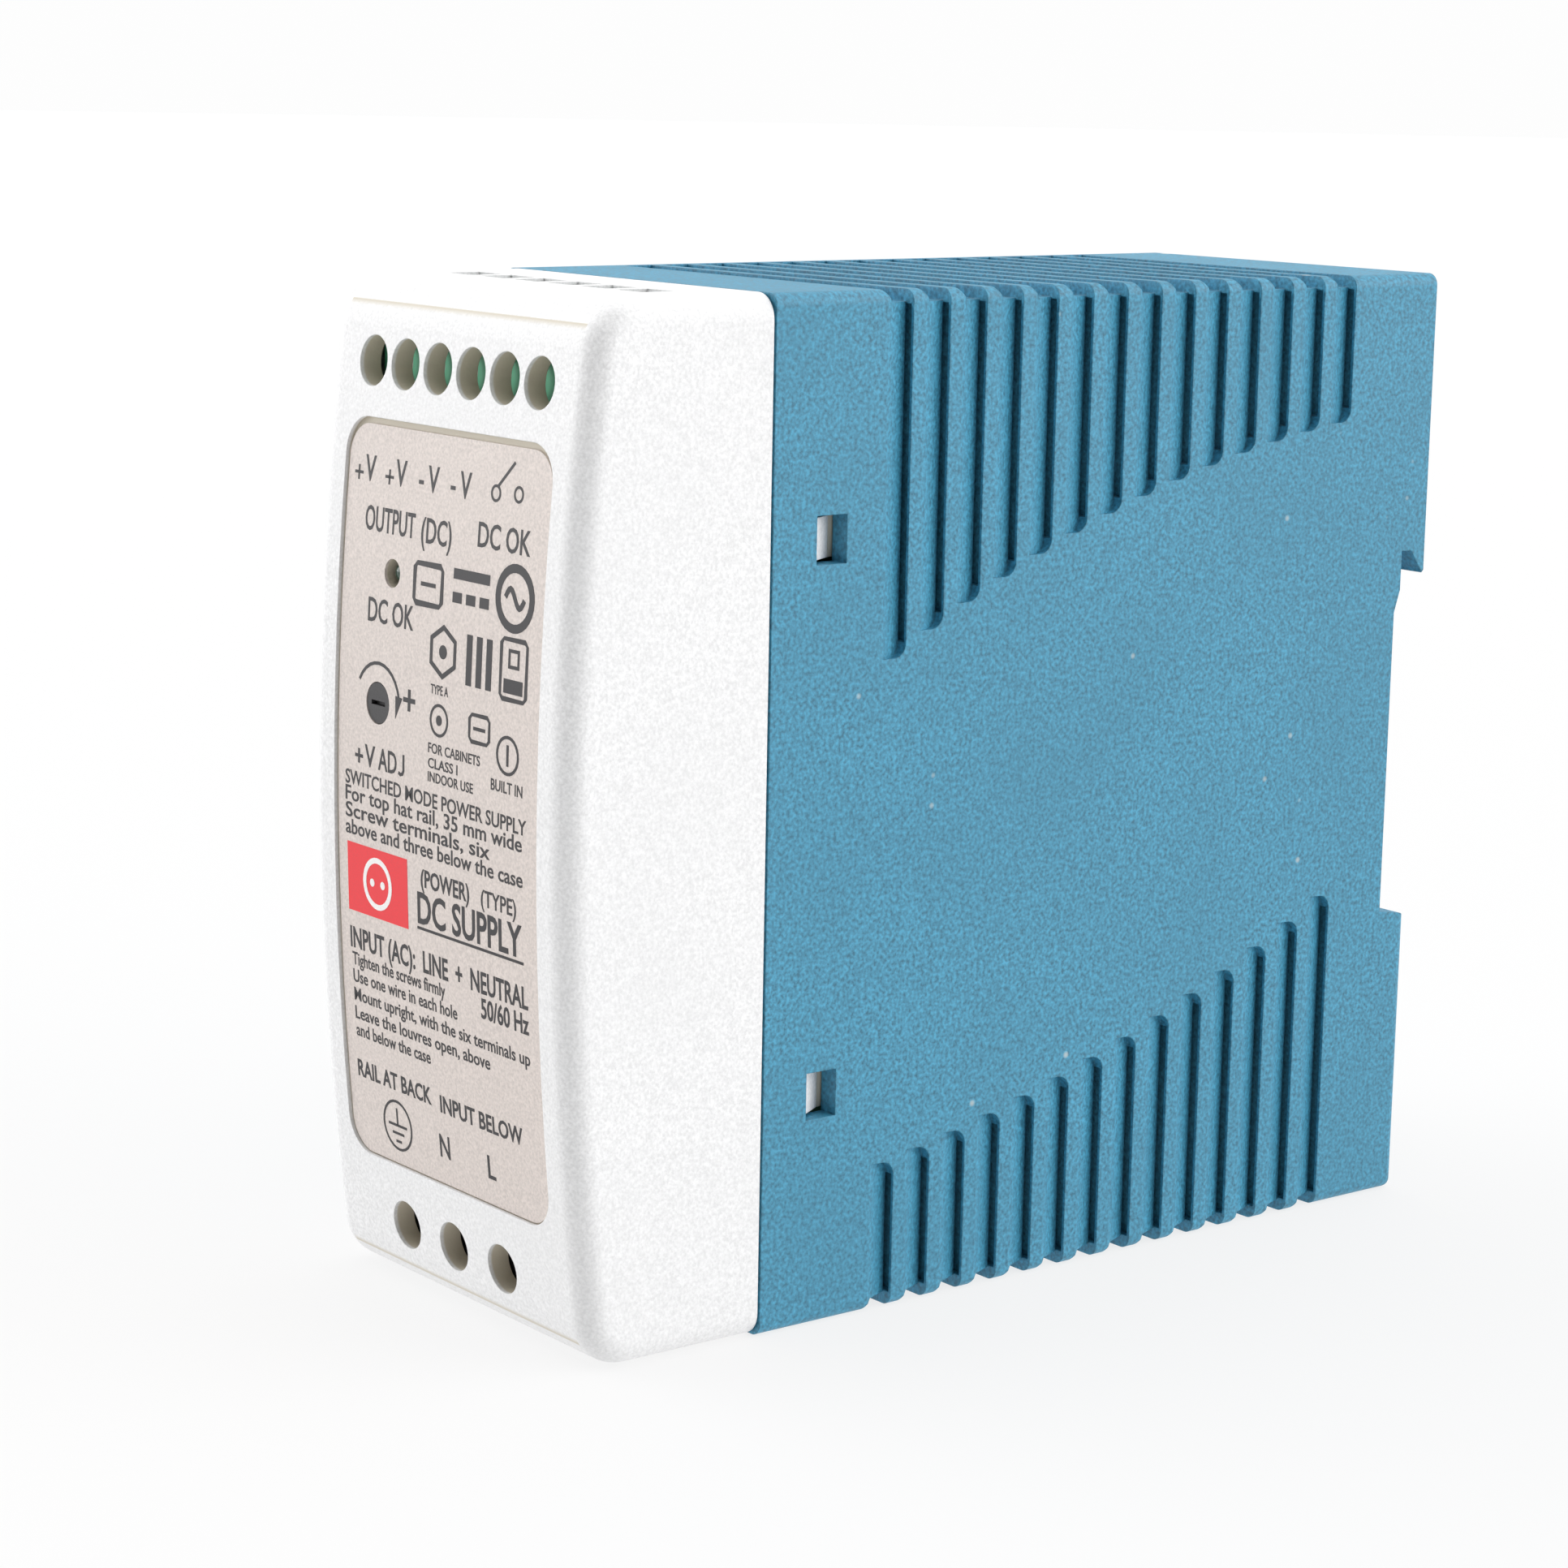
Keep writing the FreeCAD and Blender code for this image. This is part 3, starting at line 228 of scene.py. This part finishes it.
def cover_plastic():
    """The white cover, with a finer grain than the case; the walls of its holes and windows get painted
    shade, a darker grey beige.
    """
    made = Finish("cover_white", Specular_IOR_Level=0.5)
    made.worn_edges(0.12 * MM)
    body = grained(made, COVER_WHITE, 0.28 * MM, 0.020 * MM, 0.12, 0.46)
    # Painted shade: the walls inside the front take the darker beige in place of the white.
    made.colour(made.mixed(shade_behind_front(made), body, HOLE_WALL_SHADE))
    return made


def shade_behind_front(made):
    """Mask of the painted shade: 1 on the walls inside the cover's front, and 0 on its outer faces."""
    low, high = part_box("front_cover")
    rise, fall = (high.z - low.z) / 2, ARCH_FALL
    radius = (rise ** 2 + fall ** 2) / (2 * fall)
    axis = (0, low.y + radius, (low.z + high.z) / 2)
    flat = made.add("ShaderNodeVectorMath", operation="MULTIPLY")
    made.link(made.place, flat.inputs[0])
    flat.inputs[1].default_value = (0, 1, 1)
    away = made.add("ShaderNodeVectorMath", operation="DISTANCE")
    made.link(flat.outputs[0], away.inputs[0])
    away.inputs[1].default_value = axis
    deep = made.ranged(away.outputs["Value"], radius - 0.45 * MM, radius - 0.25 * MM, 1.0, 0.0)
    sides = made.add("ShaderNodeSeparateXYZ")
    made.link(made.place, sides.inputs[0])
    inner = WALL + 0.1 * MM
    for axis_name, start, end in (("X", low.x, high.x), ("Z", low.z, high.z)):
        spot = sides.outputs[axis_name]
        for edge, step in ((start + inner, -MM), (end - inner, MM)):
            deep = made.product(deep, made.ranged(spot, edge, edge + step / 10, 1.0, 0.0))
    return deep


def label_film():
    """A warm grey printed film with a satin front."""
    made = Finish("label_film", Specular_IOR_Level=0.45)
    paper = made.noise(0.26 * MM, 3.0)
    broad = made.noise(20 * MM, 2.0)
    tone = made.ranged(paper, 0.3, 0.7, 0.0, 1.0)
    made.colour(made.mixed(tone, shade(LABEL_GREY, 0.86), shade(LABEL_GREY, 1.14)))
    made.roughness(broad, 0.34, 0.46)
    made.bump(broad, 0.02 * MM)
    made.bump(paper, 0.0016 * MM)
    return made


def metal(name, colour, rough, stretch=(1, 1, 1), line=0.25 * MM, depth=0.003 * MM):
    """Plated or drawn metal with fine lines along one axis, and a few dull patches."""
    made = Finish(name, metallic=1.0)
    lines = made.noise(line, 3.0, stretch)
    patches = made.noise(2.5 * MM, 3.0)
    made.colour(made.mixed(made.ranged(patches, 0.35, 0.65, 0.0, 1.0), shade(colour, 0.82), colour))
    made.roughness(lines, rough - 0.06, rough + 0.12)
    made.bump(lines, depth)
    return made


def circuit_board():
    """Green solder mask over copper tracks, which show as raised lighter lines."""
    mask = (0.012, 0.115, 0.045)
    made = Finish("board_green", Coat_Weight=0.3, Coat_Roughness=0.15)
    tracks = made.add("ShaderNodeTexBrick")
    tracks.inputs["Scale"].default_value = 160.0
    tracks.inputs["Mortar Size"].default_value = 0.045
    made.link(made.place, tracks.inputs["Vector"])
    grain = made.noise(0.6 * MM, 3.0)
    raised = tracks.outputs["Fac"]
    base = made.mixed(raised, mask, (0.045, 0.235, 0.075))
    made.colour(made.mixed(made.ranged(grain, 0.3, 0.7, 0.0, 0.4), base, shade(mask, 0.7)))
    made.roughness(grain, 0.28, 0.42)
    made.bump(raised, 0.03 * MM)
    return made


def wound_wire(name, colour, pitch, rough=0.32):
    """Enamelled wire wound side by side, with painted shade darkening the wire between neighbouring turns.
    """
    made = Finish(name, metallic=0.85)
    turns = made.bands(pitch, "Z")
    # Painted shade: the colour falls to about a third between turns; the same bands give the relief.
    made.colour(made.mixed(turns, shade(colour, 0.35), colour))
    made.roughness(made.noise(0.8 * MM), rough - 0.05, rough + 0.1)
    made.bump(turns, 0.25 * pitch)
    return made


def printed_sleeve():
    """The dark shrink sleeve of a capacitor, with its pale polarity stripe broken into dashes."""
    made = Finish("capacitor_sleeve", Coat_Weight=0.2)
    film = made.noise(1.2 * MM, 3.0)
    dashes = made.bands(4.0 * MM, "Z")
    stripe = made.product(made.ranged(dashes, 0.55, 0.6, 0.0, 1.0),
                          made.ranged(made.bands(16 * MM, "X"), 0.9, 0.93, 0.0, 1.0))
    made.colour(made.mixed(stripe, (0.014, 0.016, 0.022), (0.42, 0.42, 0.40)))
    made.roughness(film, 0.25, 0.4)
    made.bump(film, 0.01 * MM)
    return made


def winding_tape():
    """Yellow polyester tape in overlapping layers."""
    made = Finish("winding_tape", Coat_Weight=0.4, Coat_Roughness=0.2)
    laps = made.bands(5.0 * MM, "Z")
    film = made.noise(1.5 * MM, 3.0)
    made.colour(made.mixed(film, (0.60, 0.40, 0.03), (0.80, 0.58, 0.06)))
    made.roughness(film, 0.25, 0.4)
    made.bump(laps, 0.06 * MM)
    made.bump(film, 0.02 * MM)
    return made


def ferrite():
    """Pressed and ground ferrite: near black, matt, with fine pits."""
    made = Finish("ferrite")
    pits = made.noise(0.3 * MM, 4.0)
    made.colour(made.mixed(pits, (0.018, 0.018, 0.020), (0.055, 0.054, 0.056)))
    made.roughness(pits, 0.55, 0.75)
    made.bump(pits, 0.03 * MM)
    return made


def lamp_lens():
    """The unlit lamp: deep green tinted resin with a polished nose."""
    made = Finish("lamp_green", Coat_Weight=0.5, Coat_Roughness=0.04)
    swirl = made.noise(0.8 * MM, 2.0)
    made.colour(made.mixed(swirl, (0.010, 0.035, 0.024), (0.020, 0.075, 0.048)))
    made.roughness(swirl, 0.08, 0.16)
    made.bump(swirl, 0.01 * MM)
    return made


def fuse_glass():
    made = Finish("fuse_glass", Transmission_Weight=0.85, IOR=1.5)
    swirl = made.noise(1.5 * MM, 2.0)
    made.colour(made.mixed(swirl, (0.80, 0.84, 0.82), (0.90, 0.93, 0.92)))
    made.roughness(swirl, 0.05, 0.12)
    made.bump(swirl, 0.004 * MM)
    return made


def print_ink(name, colour):
    """Screen-printed ink: nearly flat, with the mesh's fine relief."""
    made = Finish(name, Specular_IOR_Level=0.4)
    mesh = made.noise(0.12 * MM, 2.0)
    made.colour(made.mixed(mesh, shade(colour, 0.85), shade(colour, 1.15)))
    made.roughness(mesh, 0.40, 0.50)
    made.bump(mesh, 0.001 * MM)
    return made


def slot_finishes():
    """The finish of every material slot in the record."""
    return {
        "case_teal": case_plastic(),
        "cover_white": cover_plastic(),
        "label_film": label_film(),
        "terminal_green": moulded("terminal_green", (0.13, 0.52, 0.31), 0.42, depth=0.004 * MM),
        "terminal_black": moulded("terminal_black", (0.022, 0.021, 0.020), 0.45, depth=0.004 * MM),
        "tinned_brass": metal("tinned_brass", (0.72, 0.70, 0.64), 0.32, (1, 8, 1)),
        "board_green": circuit_board(),
        "insulation_film": moulded("insulation_film", (0.78, 0.74, 0.62), 0.35, depth=0.003 * MM),
        "lamp_green": lamp_lens(),
        "black_plastic": moulded("black_plastic", (0.036, 0.034, 0.036), 0.5, 0.2 * MM, 0.003 * MM),
        "trimmer_blue": moulded("trimmer_blue", (0.03, 0.10, 0.42), 0.35, depth=0.003 * MM),
        "spring_steel": metal("spring_steel", (0.60, 0.59, 0.57), 0.28, (1, 1, 6)),
        "screw_steel": metal("screw_steel", (0.66, 0.65, 0.62), 0.30, (8, 1, 1)),
        "clamp_steel": metal("clamp_steel", (0.62, 0.61, 0.57), 0.34, (1, 1, 8)),
        "fuse_glass": fuse_glass(),
        "component_green": moulded("component_green", (0.05, 0.20, 0.10), 0.4, 0.5 * MM, 0.02 * MM),
        "component_yellow": moulded("component_yellow", (0.75, 0.52, 0.06), 0.34, 0.6 * MM, 0.01 * MM),
        "component_blue": moulded("component_blue", (0.04, 0.16, 0.50), 0.32, 0.8 * MM, 0.02 * MM),
        "ferrite": ferrite(),
        "copper_wire": wound_wire("copper_wire", (0.70, 0.25, 0.09), 0.9 * MM),
        "moulded_black": moulded("moulded_black", (0.020, 0.020, 0.021), 0.5, 0.3 * MM, 0.01 * MM),
        "capacitor_sleeve": printed_sleeve(),
        "heatsink_aluminium": metal("heatsink_aluminium", (0.80, 0.80, 0.81), 0.38, (1, 12, 1)),
        "winding_tape": winding_tape(),
        "relay_white": moulded("relay_white", (0.78, 0.77, 0.72), 0.38, depth=0.004 * MM),
    }


def dress_cad_nodes():
    """Gives every CAD node the finish of its material slot."""
    finishes = slot_finishes()
    for part in frame["record"]["subparts"]:
        node = frame["nodes"][part["node"]]
        node.data.materials.clear()
        node.data.materials.append(finishes[part["material_slot"]].material)


# ---------------------------------------------------------------- label print

LABEL = BVHTree.FromObject(frame["nodes"]["front_label"], bpy.context.evaluated_depsgraph_get())
LABEL_LOW, LABEL_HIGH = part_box("front_label")
INK = 0.022 * MM          # how far the print stands proud of the label
SUNK = 0.006 * MM         # how far its back is sunk into the label
CURVE_STEPS = 28          # straight pieces in a whole ring
CAP_HEIGHT = 0.69         # height of a capital, in a font of size 1


def label_front(x, z):
    """Where the label's arched front lies at (x, z), seen along Y."""
    inset = 0.5 * MM
    inside_x = min(max(x, LABEL_LOW.x + inset), LABEL_HIGH.x - inset)
    start = Vector((inside_x, LABEL_LOW.y - 10 * MM, z))
    hit = LABEL.ray_cast(start, Vector((0, 1, 0)))[0]
    return hit.y if hit else (LABEL_LOW.y + LABEL_HIGH.y) / 2


class Print:
    """One colour of print on the label, gathered as thin closed solids in one mesh."""

    def __init__(self, lift=0.0):
        self.mesh = bmesh.new()
        self.lift = lift

    def raise_plates(self, faces):
        """Turns flat faces, drawn as (x, z) in millimetres, into plates that follow the label."""
        flat = bmesh.ops.duplicate(self.mesh, geom=faces)["geom"]
        back = [item for item in flat if isinstance(item, bmesh.types.BMFace)]
        front_verts = {vert for face in faces for vert in face.verts}
        back_verts = {vert for face in back for vert in face.verts}
        open_edges = [edge for face in faces for edge in face.edges if len(edge.link_faces) == 1]
        pairs = {}
        for one, other in zip(faces, back):
            pairs.update(zip(one.verts, other.verts))
        for edge in open_edges:
            a, b = edge.verts
            self.mesh.faces.new((a, b, pairs[b], pairs[a]))
        for vert in front_verts:
            self.settle(vert, self.lift + INK)
        for vert in back_verts:
            self.settle(vert, self.lift - SUNK)

    def settle(self, vert, proud):
        x, z = vert.co.x * MM, vert.co.z * MM
        vert.co = (x, label_front(x, z) - proud, z)

    def plate(self, *outline):
        """A filled shape with the given (x, z) corners."""
        verts = [self.mesh.verts.new((x, 0, z)) for x, z in outline]
        self.raise_plates([self.mesh.faces.new(verts)])

    def bar(self, left, right, low, high):
        """A filled rectangle, cut into low strips so that it follows the arch."""
        strips = max(1, round((high - low) / 1.5))
        levels = [low + (high - low) * n / strips for n in range(strips + 1)]
        rows = [[self.mesh.verts.new((x, 0, z)) for x in (left, right)] for z in levels]
        self.raise_plates([self.mesh.faces.new((*below, *reversed(above)))
                           for below, above in zip(rows, rows[1:])])

    def band(self, points, wide, closed=False):
        """A line of constant width along (x, z) points."""
        points = [Vector(point) for point in points]
        count = len(points)
        sides = []
        for n, point in enumerate(points):
            before = points[n - 1] if n or closed else point
            after = points[(n + 1) % count] if n < count - 1 or closed else point
            along = (after - before).normalized()
            arriving = (point - before).normalized() if point != before else along
            across = Vector((-along.y, along.x))
            reach = wide / 2 / max(0.5, along.dot(arriving))
            sides.append([self.mesh.verts.new((place.x, 0, place.y))
                          for place in (point + across * reach, point - across * reach)])
        pairs = list(zip(sides, sides[1:]))
        if closed:
            pairs.append((sides[-1], sides[0]))
        self.raise_plates([self.mesh.faces.new((a[0], a[1], b[1], b[0])) for a, b in pairs])

    def arc(self, x, z, radius, wide, start=0, sweep=360):
        """Part of a ring, its angles counted anticlockwise from +X."""
        steps = max(4, round(CURVE_STEPS * abs(sweep) / 360))
        count = steps if abs(sweep) == 360 else steps + 1
        angles = [math.radians(start + sweep * n / steps) for n in range(count)]
        self.band([(x + radius * math.cos(a), z + radius * math.sin(a)) for a in angles], wide,
                  closed=abs(sweep) == 360)

    def dot(self, x, z, radius):
        angles = [math.tau * n / CURVE_STEPS for n in range(CURVE_STEPS)]
        self.plate(*[(x + radius * math.cos(a), z + radius * math.sin(a)) for a in angles])

    def polygon(self, x, z, radius, sides, wide, turn=90):
        """The outline of a regular polygon."""
        angles = [math.radians(turn + 360 * n / sides) for n in range(sides)]
        self.band([(x + radius * math.cos(a), z + radius * math.sin(a)) for a in angles], wide, closed=True)

    def box(self, left, right, low, high, wide):
        """The outline of a rectangle with cut corners."""
        cut = 0.35
        self.band([(left + cut, low), (right - cut, low), (right, low + cut), (right, high - cut),
                   (right - cut, high), (left + cut, high), (left, high - cut), (left, low + cut)],
                  wide, closed=True)

    def words(self, text, left, right, middle, tall, weight=0.012):
        """A line of capitals that fills left to right; tall is the height of its capitals."""
        curve = bpy.data.curves.new("line_of_print", "FONT")
        curve.body = text
        curve.resolution_u = 3
        curve.offset = weight
        holder = bpy.data.objects.new("line_of_print", curve)
        bpy.context.scene.collection.objects.link(holder)
        bpy.context.view_layer.update()
        letters = bpy.data.meshes.new_from_object(
            holder.evaluated_get(bpy.context.evaluated_depsgraph_get()))
        spots = [vert.co for vert in letters.vertices]
        start, end = min(spot.x for spot in spots), max(spot.x for spot in spots)
        widen, raised = (right - left) / (end - start), tall / CAP_HEIGHT
        low = middle - tall / 2
        verts = [self.mesh.verts.new((left + (spot.x - start) * widen, 0, low + spot.y * raised))
                 for spot in spots]
        faces = [self.mesh.faces.new([verts[n] for n in polygon.vertices]) for polygon in letters.polygons]
        bmesh.ops.remove_doubles(self.mesh, verts=verts, dist=1e-4)
        self.raise_plates([face for face in faces if face.is_valid])
        bpy.data.objects.remove(holder)
        bpy.data.curves.remove(curve)
        bpy.data.meshes.remove(letters)

    def piece(self, name, finish):
        """Makes the gathered print a piece that rides with the housing."""
        bmesh.ops.recalc_face_normals(self.mesh, faces=self.mesh.faces)
        mesh = bpy.data.meshes.new(name)
        self.mesh.to_mesh(mesh)
        self.mesh.free()
        mesh.materials.append(finish.material)
        made = bpy.data.objects.new(name, mesh)
        bpy.context.scene.collection.objects.link(made)
        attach(made, ROOT)
        return made


def output_marks(ink):
    """The terminal names along the top, the alarm contact and the lamp's name."""
    for left in (-14.6, -9.65):
        ink.band([(left, 73.05), (left + 1.35, 73.05)], 0.26)
        ink.band([(left + 0.675, 72.4), (left + 0.675, 73.7)], 0.26)
        ink.words("V", left + 1.65, left + 3.35, 73.55, 2.2)
    for left in (-4.3, 0.65):
        ink.band([(left, 73.1), (left + 0.75, 73.1)], 0.34)
        ink.words("V", left + 1.4, left + 3.1, 73.5, 2.2)
    ink.arc(7.5, 73.3, 0.62, 0.24)
    ink.band([(7.75, 73.9), (10.0, 76.05)], 0.28)
    ink.arc(10.85, 73.5, 0.6, 0.24)
    ink.words("OUTPUT", -12.4, -4.4, 69.3, 2.1)
    ink.words("(DC)", -3.4, 1.3, 69.15, 2.1)
    ink.words("DC OK", 5.3, 13.1, 69.7, 2.05)
    ink.words("DC OK", -11.2, -3.9, 61.45, 2.05)


def plain_symbols(ink):
    """Plain electrical signs and shapes, in place of approval marks."""
    ink.box(-4.0, 0.3, 62.9, 66.3, 0.42)
    ink.band([(-3.0, 64.6), (-0.7, 64.6)], 0.36)
    ink.bar(2.0, 7.5, 65.6, 66.5)
    for left in (2.0, 4.05, 6.1):
        ink.bar(left, left + 1.4, 63.6, 64.5)
    ink.arc(11.3, 65.0, 2.5, 0.75)
    wave = [(9.9 + 2.8 * n / 12, 65.0 + 0.75 * math.sin(math.tau * n / 12)) for n in range(13)]
    ink.band(wave, 0.5)
    ink.polygon(0.9, 59.2, 2.1, 6, 0.42)
    ink.dot(0.9, 59.2, 0.6)
    for left in (4.5, 6.0, 7.5):
        ink.bar(left, left + 0.85, 56.9, 61.2)
    ink.box(9.7, 13.5, 56.6, 61.6, 0.34)
    ink.bar(10.2, 13.0, 57.1, 58.3)
    ink.polygon(11.6, 60.0, 0.95, 4, 0.3, 45)
    ink.words("TYPE A", -0.8, 1.9, 55.9, 0.8)
    ink.arc(0.6, 53.3, 1.3, 0.26)
    ink.dot(0.6, 53.3, 0.45)
    ink.box(5.3, 8.3, 52.3, 54.6, 0.3)
    ink.band([(5.9, 53.45), (7.7, 53.45)], 0.3)
    ink.arc(11.1, 51.9, 1.55, 0.28)
    ink.band([(11.1, 51.0), (11.1, 52.8)], 0.32)
    ink.words("FOR CABINETS", -1.0, 7.0, 50.8, 0.85)
    ink.words("CLASS I", -1.0, 3.6, 49.5, 0.85)
    ink.words("INDOOR USE", -1.0, 6.0, 48.3, 0.85)
    ink.words("BUILT IN", 8.7, 13.4, 49.2, 0.95)


def trimmer_marks(ink):
    """The arrow round the trimmer, which turns clockwise for more volts."""
    low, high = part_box("trimmer_rotor")
    x, z = (low.x + high.x) / 2 / MM, (low.z + high.z) / 2 / MM
    ink.arc(x, z, 3.5, 0.3, 150, -137)
    tip, across = (x + 2.9, z - 0.95), 0.55
    ink.plate((x + 3.4 - across, z + 1.05), tip, (x + 3.4 + across, z + 0.95))
    plus = (x + 5.05, z + 0.95)
    ink.band([(plus[0] - 0.95, plus[1]), (plus[0] + 0.95, plus[1])], 0.42)
    ink.band([(plus[0], plus[1] - 0.95), (plus[0], plus[1] + 0.95)], 0.42)
    ink.band([(-12.8, 48.35), (-11.5, 48.35)], 0.3)
    ink.band([(-12.15, 47.7), (-12.15, 49.0)], 0.3)
    ink.words("V", -11.2, -9.5, 48.55, 1.9)
    ink.words("AD", -9.0, -6.0, 48.55, 1.9)
    ink.band([(-4.9, 49.5), (-4.9, 48.1), (-5.05, 47.8), (-5.4, 47.7), (-5.7, 47.85)], 0.3)


def body_text(ink):
    """Lines of plain description, the generic name and the input side."""
    lines = [("SWITCHED MODE POWER SUPPLY", -14.4, 14.0, 46.25, 1.25),
             ("For top hat rail, 35 mm wide", -14.4, 13.4, 44.8, 1.3),
             ("Screw terminals, six", -14.4, 8.6, 43.3, 1.3),
             ("above and three below the case", -14.4, 13.5, 41.8, 1.3),
             ("(POWER)", -2.2, 5.4, 39.2, 1.5), ("(TYPE)", 7.2, 12.5, 39.2, 1.4),
             ("DC SUPPLY", -2.8, 13.3, 36.5, 2.7),
             ("INPUT (AC):  LINE  +  NEUTRAL", -14.1, 14.0, 31.75, 1.85),
             ("50/60 Hz", 6.8, 14.0, 29.5, 1.7),
             ("Tighten the screws firmly", -13.9, 1.2, 29.8, 1.15),
             ("Use one wire in each hole", -13.9, 3.0, 28.2, 1.15),
             ("Mount upright, with the six terminals up", -13.9, 14.0, 26.5, 1.15),
             ("Leave the louvres open, above", -13.9, 7.8, 24.8, 1.15),
             ("and below the case", -13.9, -1.7, 23.2, 1.15),
             ("RAIL AT BACK", -14.1, -2.0, 19.6, 1.5), ("INPUT BELOW", -0.6, 12.2, 19.3, 1.5)]
    for text, left, right, middle, tall in lines:
        ink.words(text, left, right, middle, tall, 0.02 if tall > 1.4 else 0.012)
    ink.bar(-2.9, 13.5, 34.55, 34.8)


def input_marks(ink):
    """Protective earth, neutral and line, above their three terminals."""
    ink.arc(-8.0, 15.5, 2.25, 0.24)
    ink.band([(-8.0, 15.5), (-8.0, 17.1)], 0.24)
    for level, half in ((15.5, 1.5), (14.75, 0.95), (14.0, 0.45)):
        ink.band([(-8.0 - half, level), (-8.0 + half, level)], 0.24)
    ink.words("N", -1.15, 0.45, 15.4, 2.05)
    ink.words("L", 6.4, 7.6, 15.3, 2.05)


def print_label():
    dark = Print()
    for part in (output_marks, plain_symbols, trimmer_marks, body_text, input_marks):
        part(dark)
    dark.piece("label_print", print_ink("label_ink", INK_DARK))
    badge = Print()
    badge.bar(-14.15, -4.35, 34.2, 40.4)
    badge.piece("label_badge", print_ink("badge_red", BADGE_RED))
    sign = Print(lift=INK)
    sign.arc(-9.25, 37.3, 2.1, 0.5)
    for side in (-1, 1):
        sign.dot(-9.25 + side * 0.85, 37.3, 0.36)
    sign.piece("label_badge_sign", print_ink("badge_white", BADGE_WHITE))


# ---------------------------------------------------------------- studio

CAMERA_AT = Vector((0.26955, -0.22232, 0.10925))
CAMERA_AIM = Vector((-0.00542, -0.00771, 0.04254))
CAMERA_ROLL = math.radians(1.035)
LENS_MM = 87.481
FILM_MM = 36.0
CLIP_NEAR, CLIP_FAR = 0.01, 50.0
FLOOR_RADIUS, FLOOR_SIDES = 6.0, 64
FLOOR_DROP = 0.05 * MM    # how far the floor lies under the object's foot
FLOOR_GLOW = 0.79
FLOOR_PAINT = (0.13, 0.13, 0.13)
BACKDROP = (0.985, 0.985, 0.985, 1)
TENT = 0.70
# Zones of the tent: direction, the cosines between which it fades in, and the light it adds.
ZONES = (
    ((0.72, -0.66, 0.10), -0.20, 0.50, -0.63),    # the dark side of the room, past the near edge
    ((-0.75, -0.60, 0.28), 0.70, 0.95, 2.55),     # a softbox for the front
    ((0.75, 0.60, 0.28), 0.70, 0.95, 2.5),        # a softbox for the long side
    ((0.00, 0.10, 1.00), 0.60, 0.95, 1.35),       # a softbox overhead
)


def place_camera():
    data = bpy.data.cameras.new("camera")
    data.lens, data.sensor_width = LENS_MM, FILM_MM
    data.clip_start, data.clip_end = CLIP_NEAR, CLIP_FAR
    camera = bpy.data.objects.new("camera", data)
    bpy.context.scene.collection.objects.link(camera)
    camera.rotation_mode = "QUATERNION"
    camera.location = CAMERA_AT
    looking = (CAMERA_AIM - CAMERA_AT).to_track_quat("-Z", "Y")
    camera.rotation_quaternion = looking @ Quaternion((0, 0, 1), CAMERA_ROLL)
    bpy.context.scene.camera = camera


def place_floor():
    """A wide, pale, matt floor, just under the object's foot."""
    mesh = bmesh.new()
    bmesh.ops.create_circle(mesh, cap_ends=True, segments=FLOOR_SIDES, radius=FLOOR_RADIUS)
    data = bpy.data.meshes.new("studio_floor")
    mesh.to_mesh(data)
    mesh.free()
    made = Finish("studio_floor", Specular_IOR_Level=0.1, Emission_Strength=FLOOR_GLOW,
                  Emission_Color=WHITE_LIGHT)
    cloud = made.noise(0.3, 2.0)
    made.colour(made.mixed(cloud, shade(FLOOR_PAINT, 0.98), shade(FLOOR_PAINT, 1.02)))
    made.roughness(cloud, 0.85, 0.95)
    data.materials.append(made.material)
    floor = bpy.data.objects.new("studio_floor", data)
    bpy.context.scene.collection.objects.link(floor)
    floor.location.z = CAD_BOX[0].z - FLOOR_DROP


def light_world():
    """A white tent with a few brighter and dimmer zones, in front of an even backdrop."""
    world = bpy.data.worlds.new("studio_world")
    bpy.context.scene.world = world
    world.use_nodes = True
    nodes, links = world.node_tree.nodes, world.node_tree.links
    tent = nodes["Background"]
    tent.inputs["Color"].default_value = WHITE_LIGHT
    place = nodes.new("ShaderNodeTexCoord").outputs["Generated"]
    total = None
    for towards, start, full, added in ZONES:
        facing = nodes.new("ShaderNodeVectorMath")
        facing.operation = "DOT_PRODUCT"
        facing.inputs[1].default_value = Vector(towards).normalized()
        links.new(place, facing.inputs[0])
        fade = nodes.new("ShaderNodeMapRange")
        fade.interpolation_type = "SMOOTHSTEP"
        for socket, amount in zip(list(fade.inputs)[1:5], (start, full, 0.0, added)):
            socket.default_value = amount
        links.new(facing.outputs["Value"], fade.inputs[0])
        plus = nodes.new("ShaderNodeMath")
        plus.operation = "ADD"
        plus.inputs[0].default_value = TENT
        if total is not None:
            links.new(total, plus.inputs[0])
        links.new(fade.outputs[0], plus.inputs[1])
        total = plus.outputs[0]
    links.new(total, tent.inputs["Strength"])
    backdrop = nodes.new("ShaderNodeBackground")
    backdrop.inputs["Color"].default_value = BACKDROP
    seen = nodes.new("ShaderNodeLightPath")
    choice = nodes.new("ShaderNodeMixShader")
    links.new(seen.outputs["Is Camera Ray"], choice.inputs[0])
    links.new(tent.outputs[0], choice.inputs[1])
    links.new(backdrop.outputs[0], choice.inputs[2])
    links.new(choice.outputs[0], nodes["World Output"].inputs["Surface"])


dress_cad_nodes()
print_label()
place_camera()
place_floor()
light_world()
bpy.context.scene.view_settings.view_transform = "Standard"
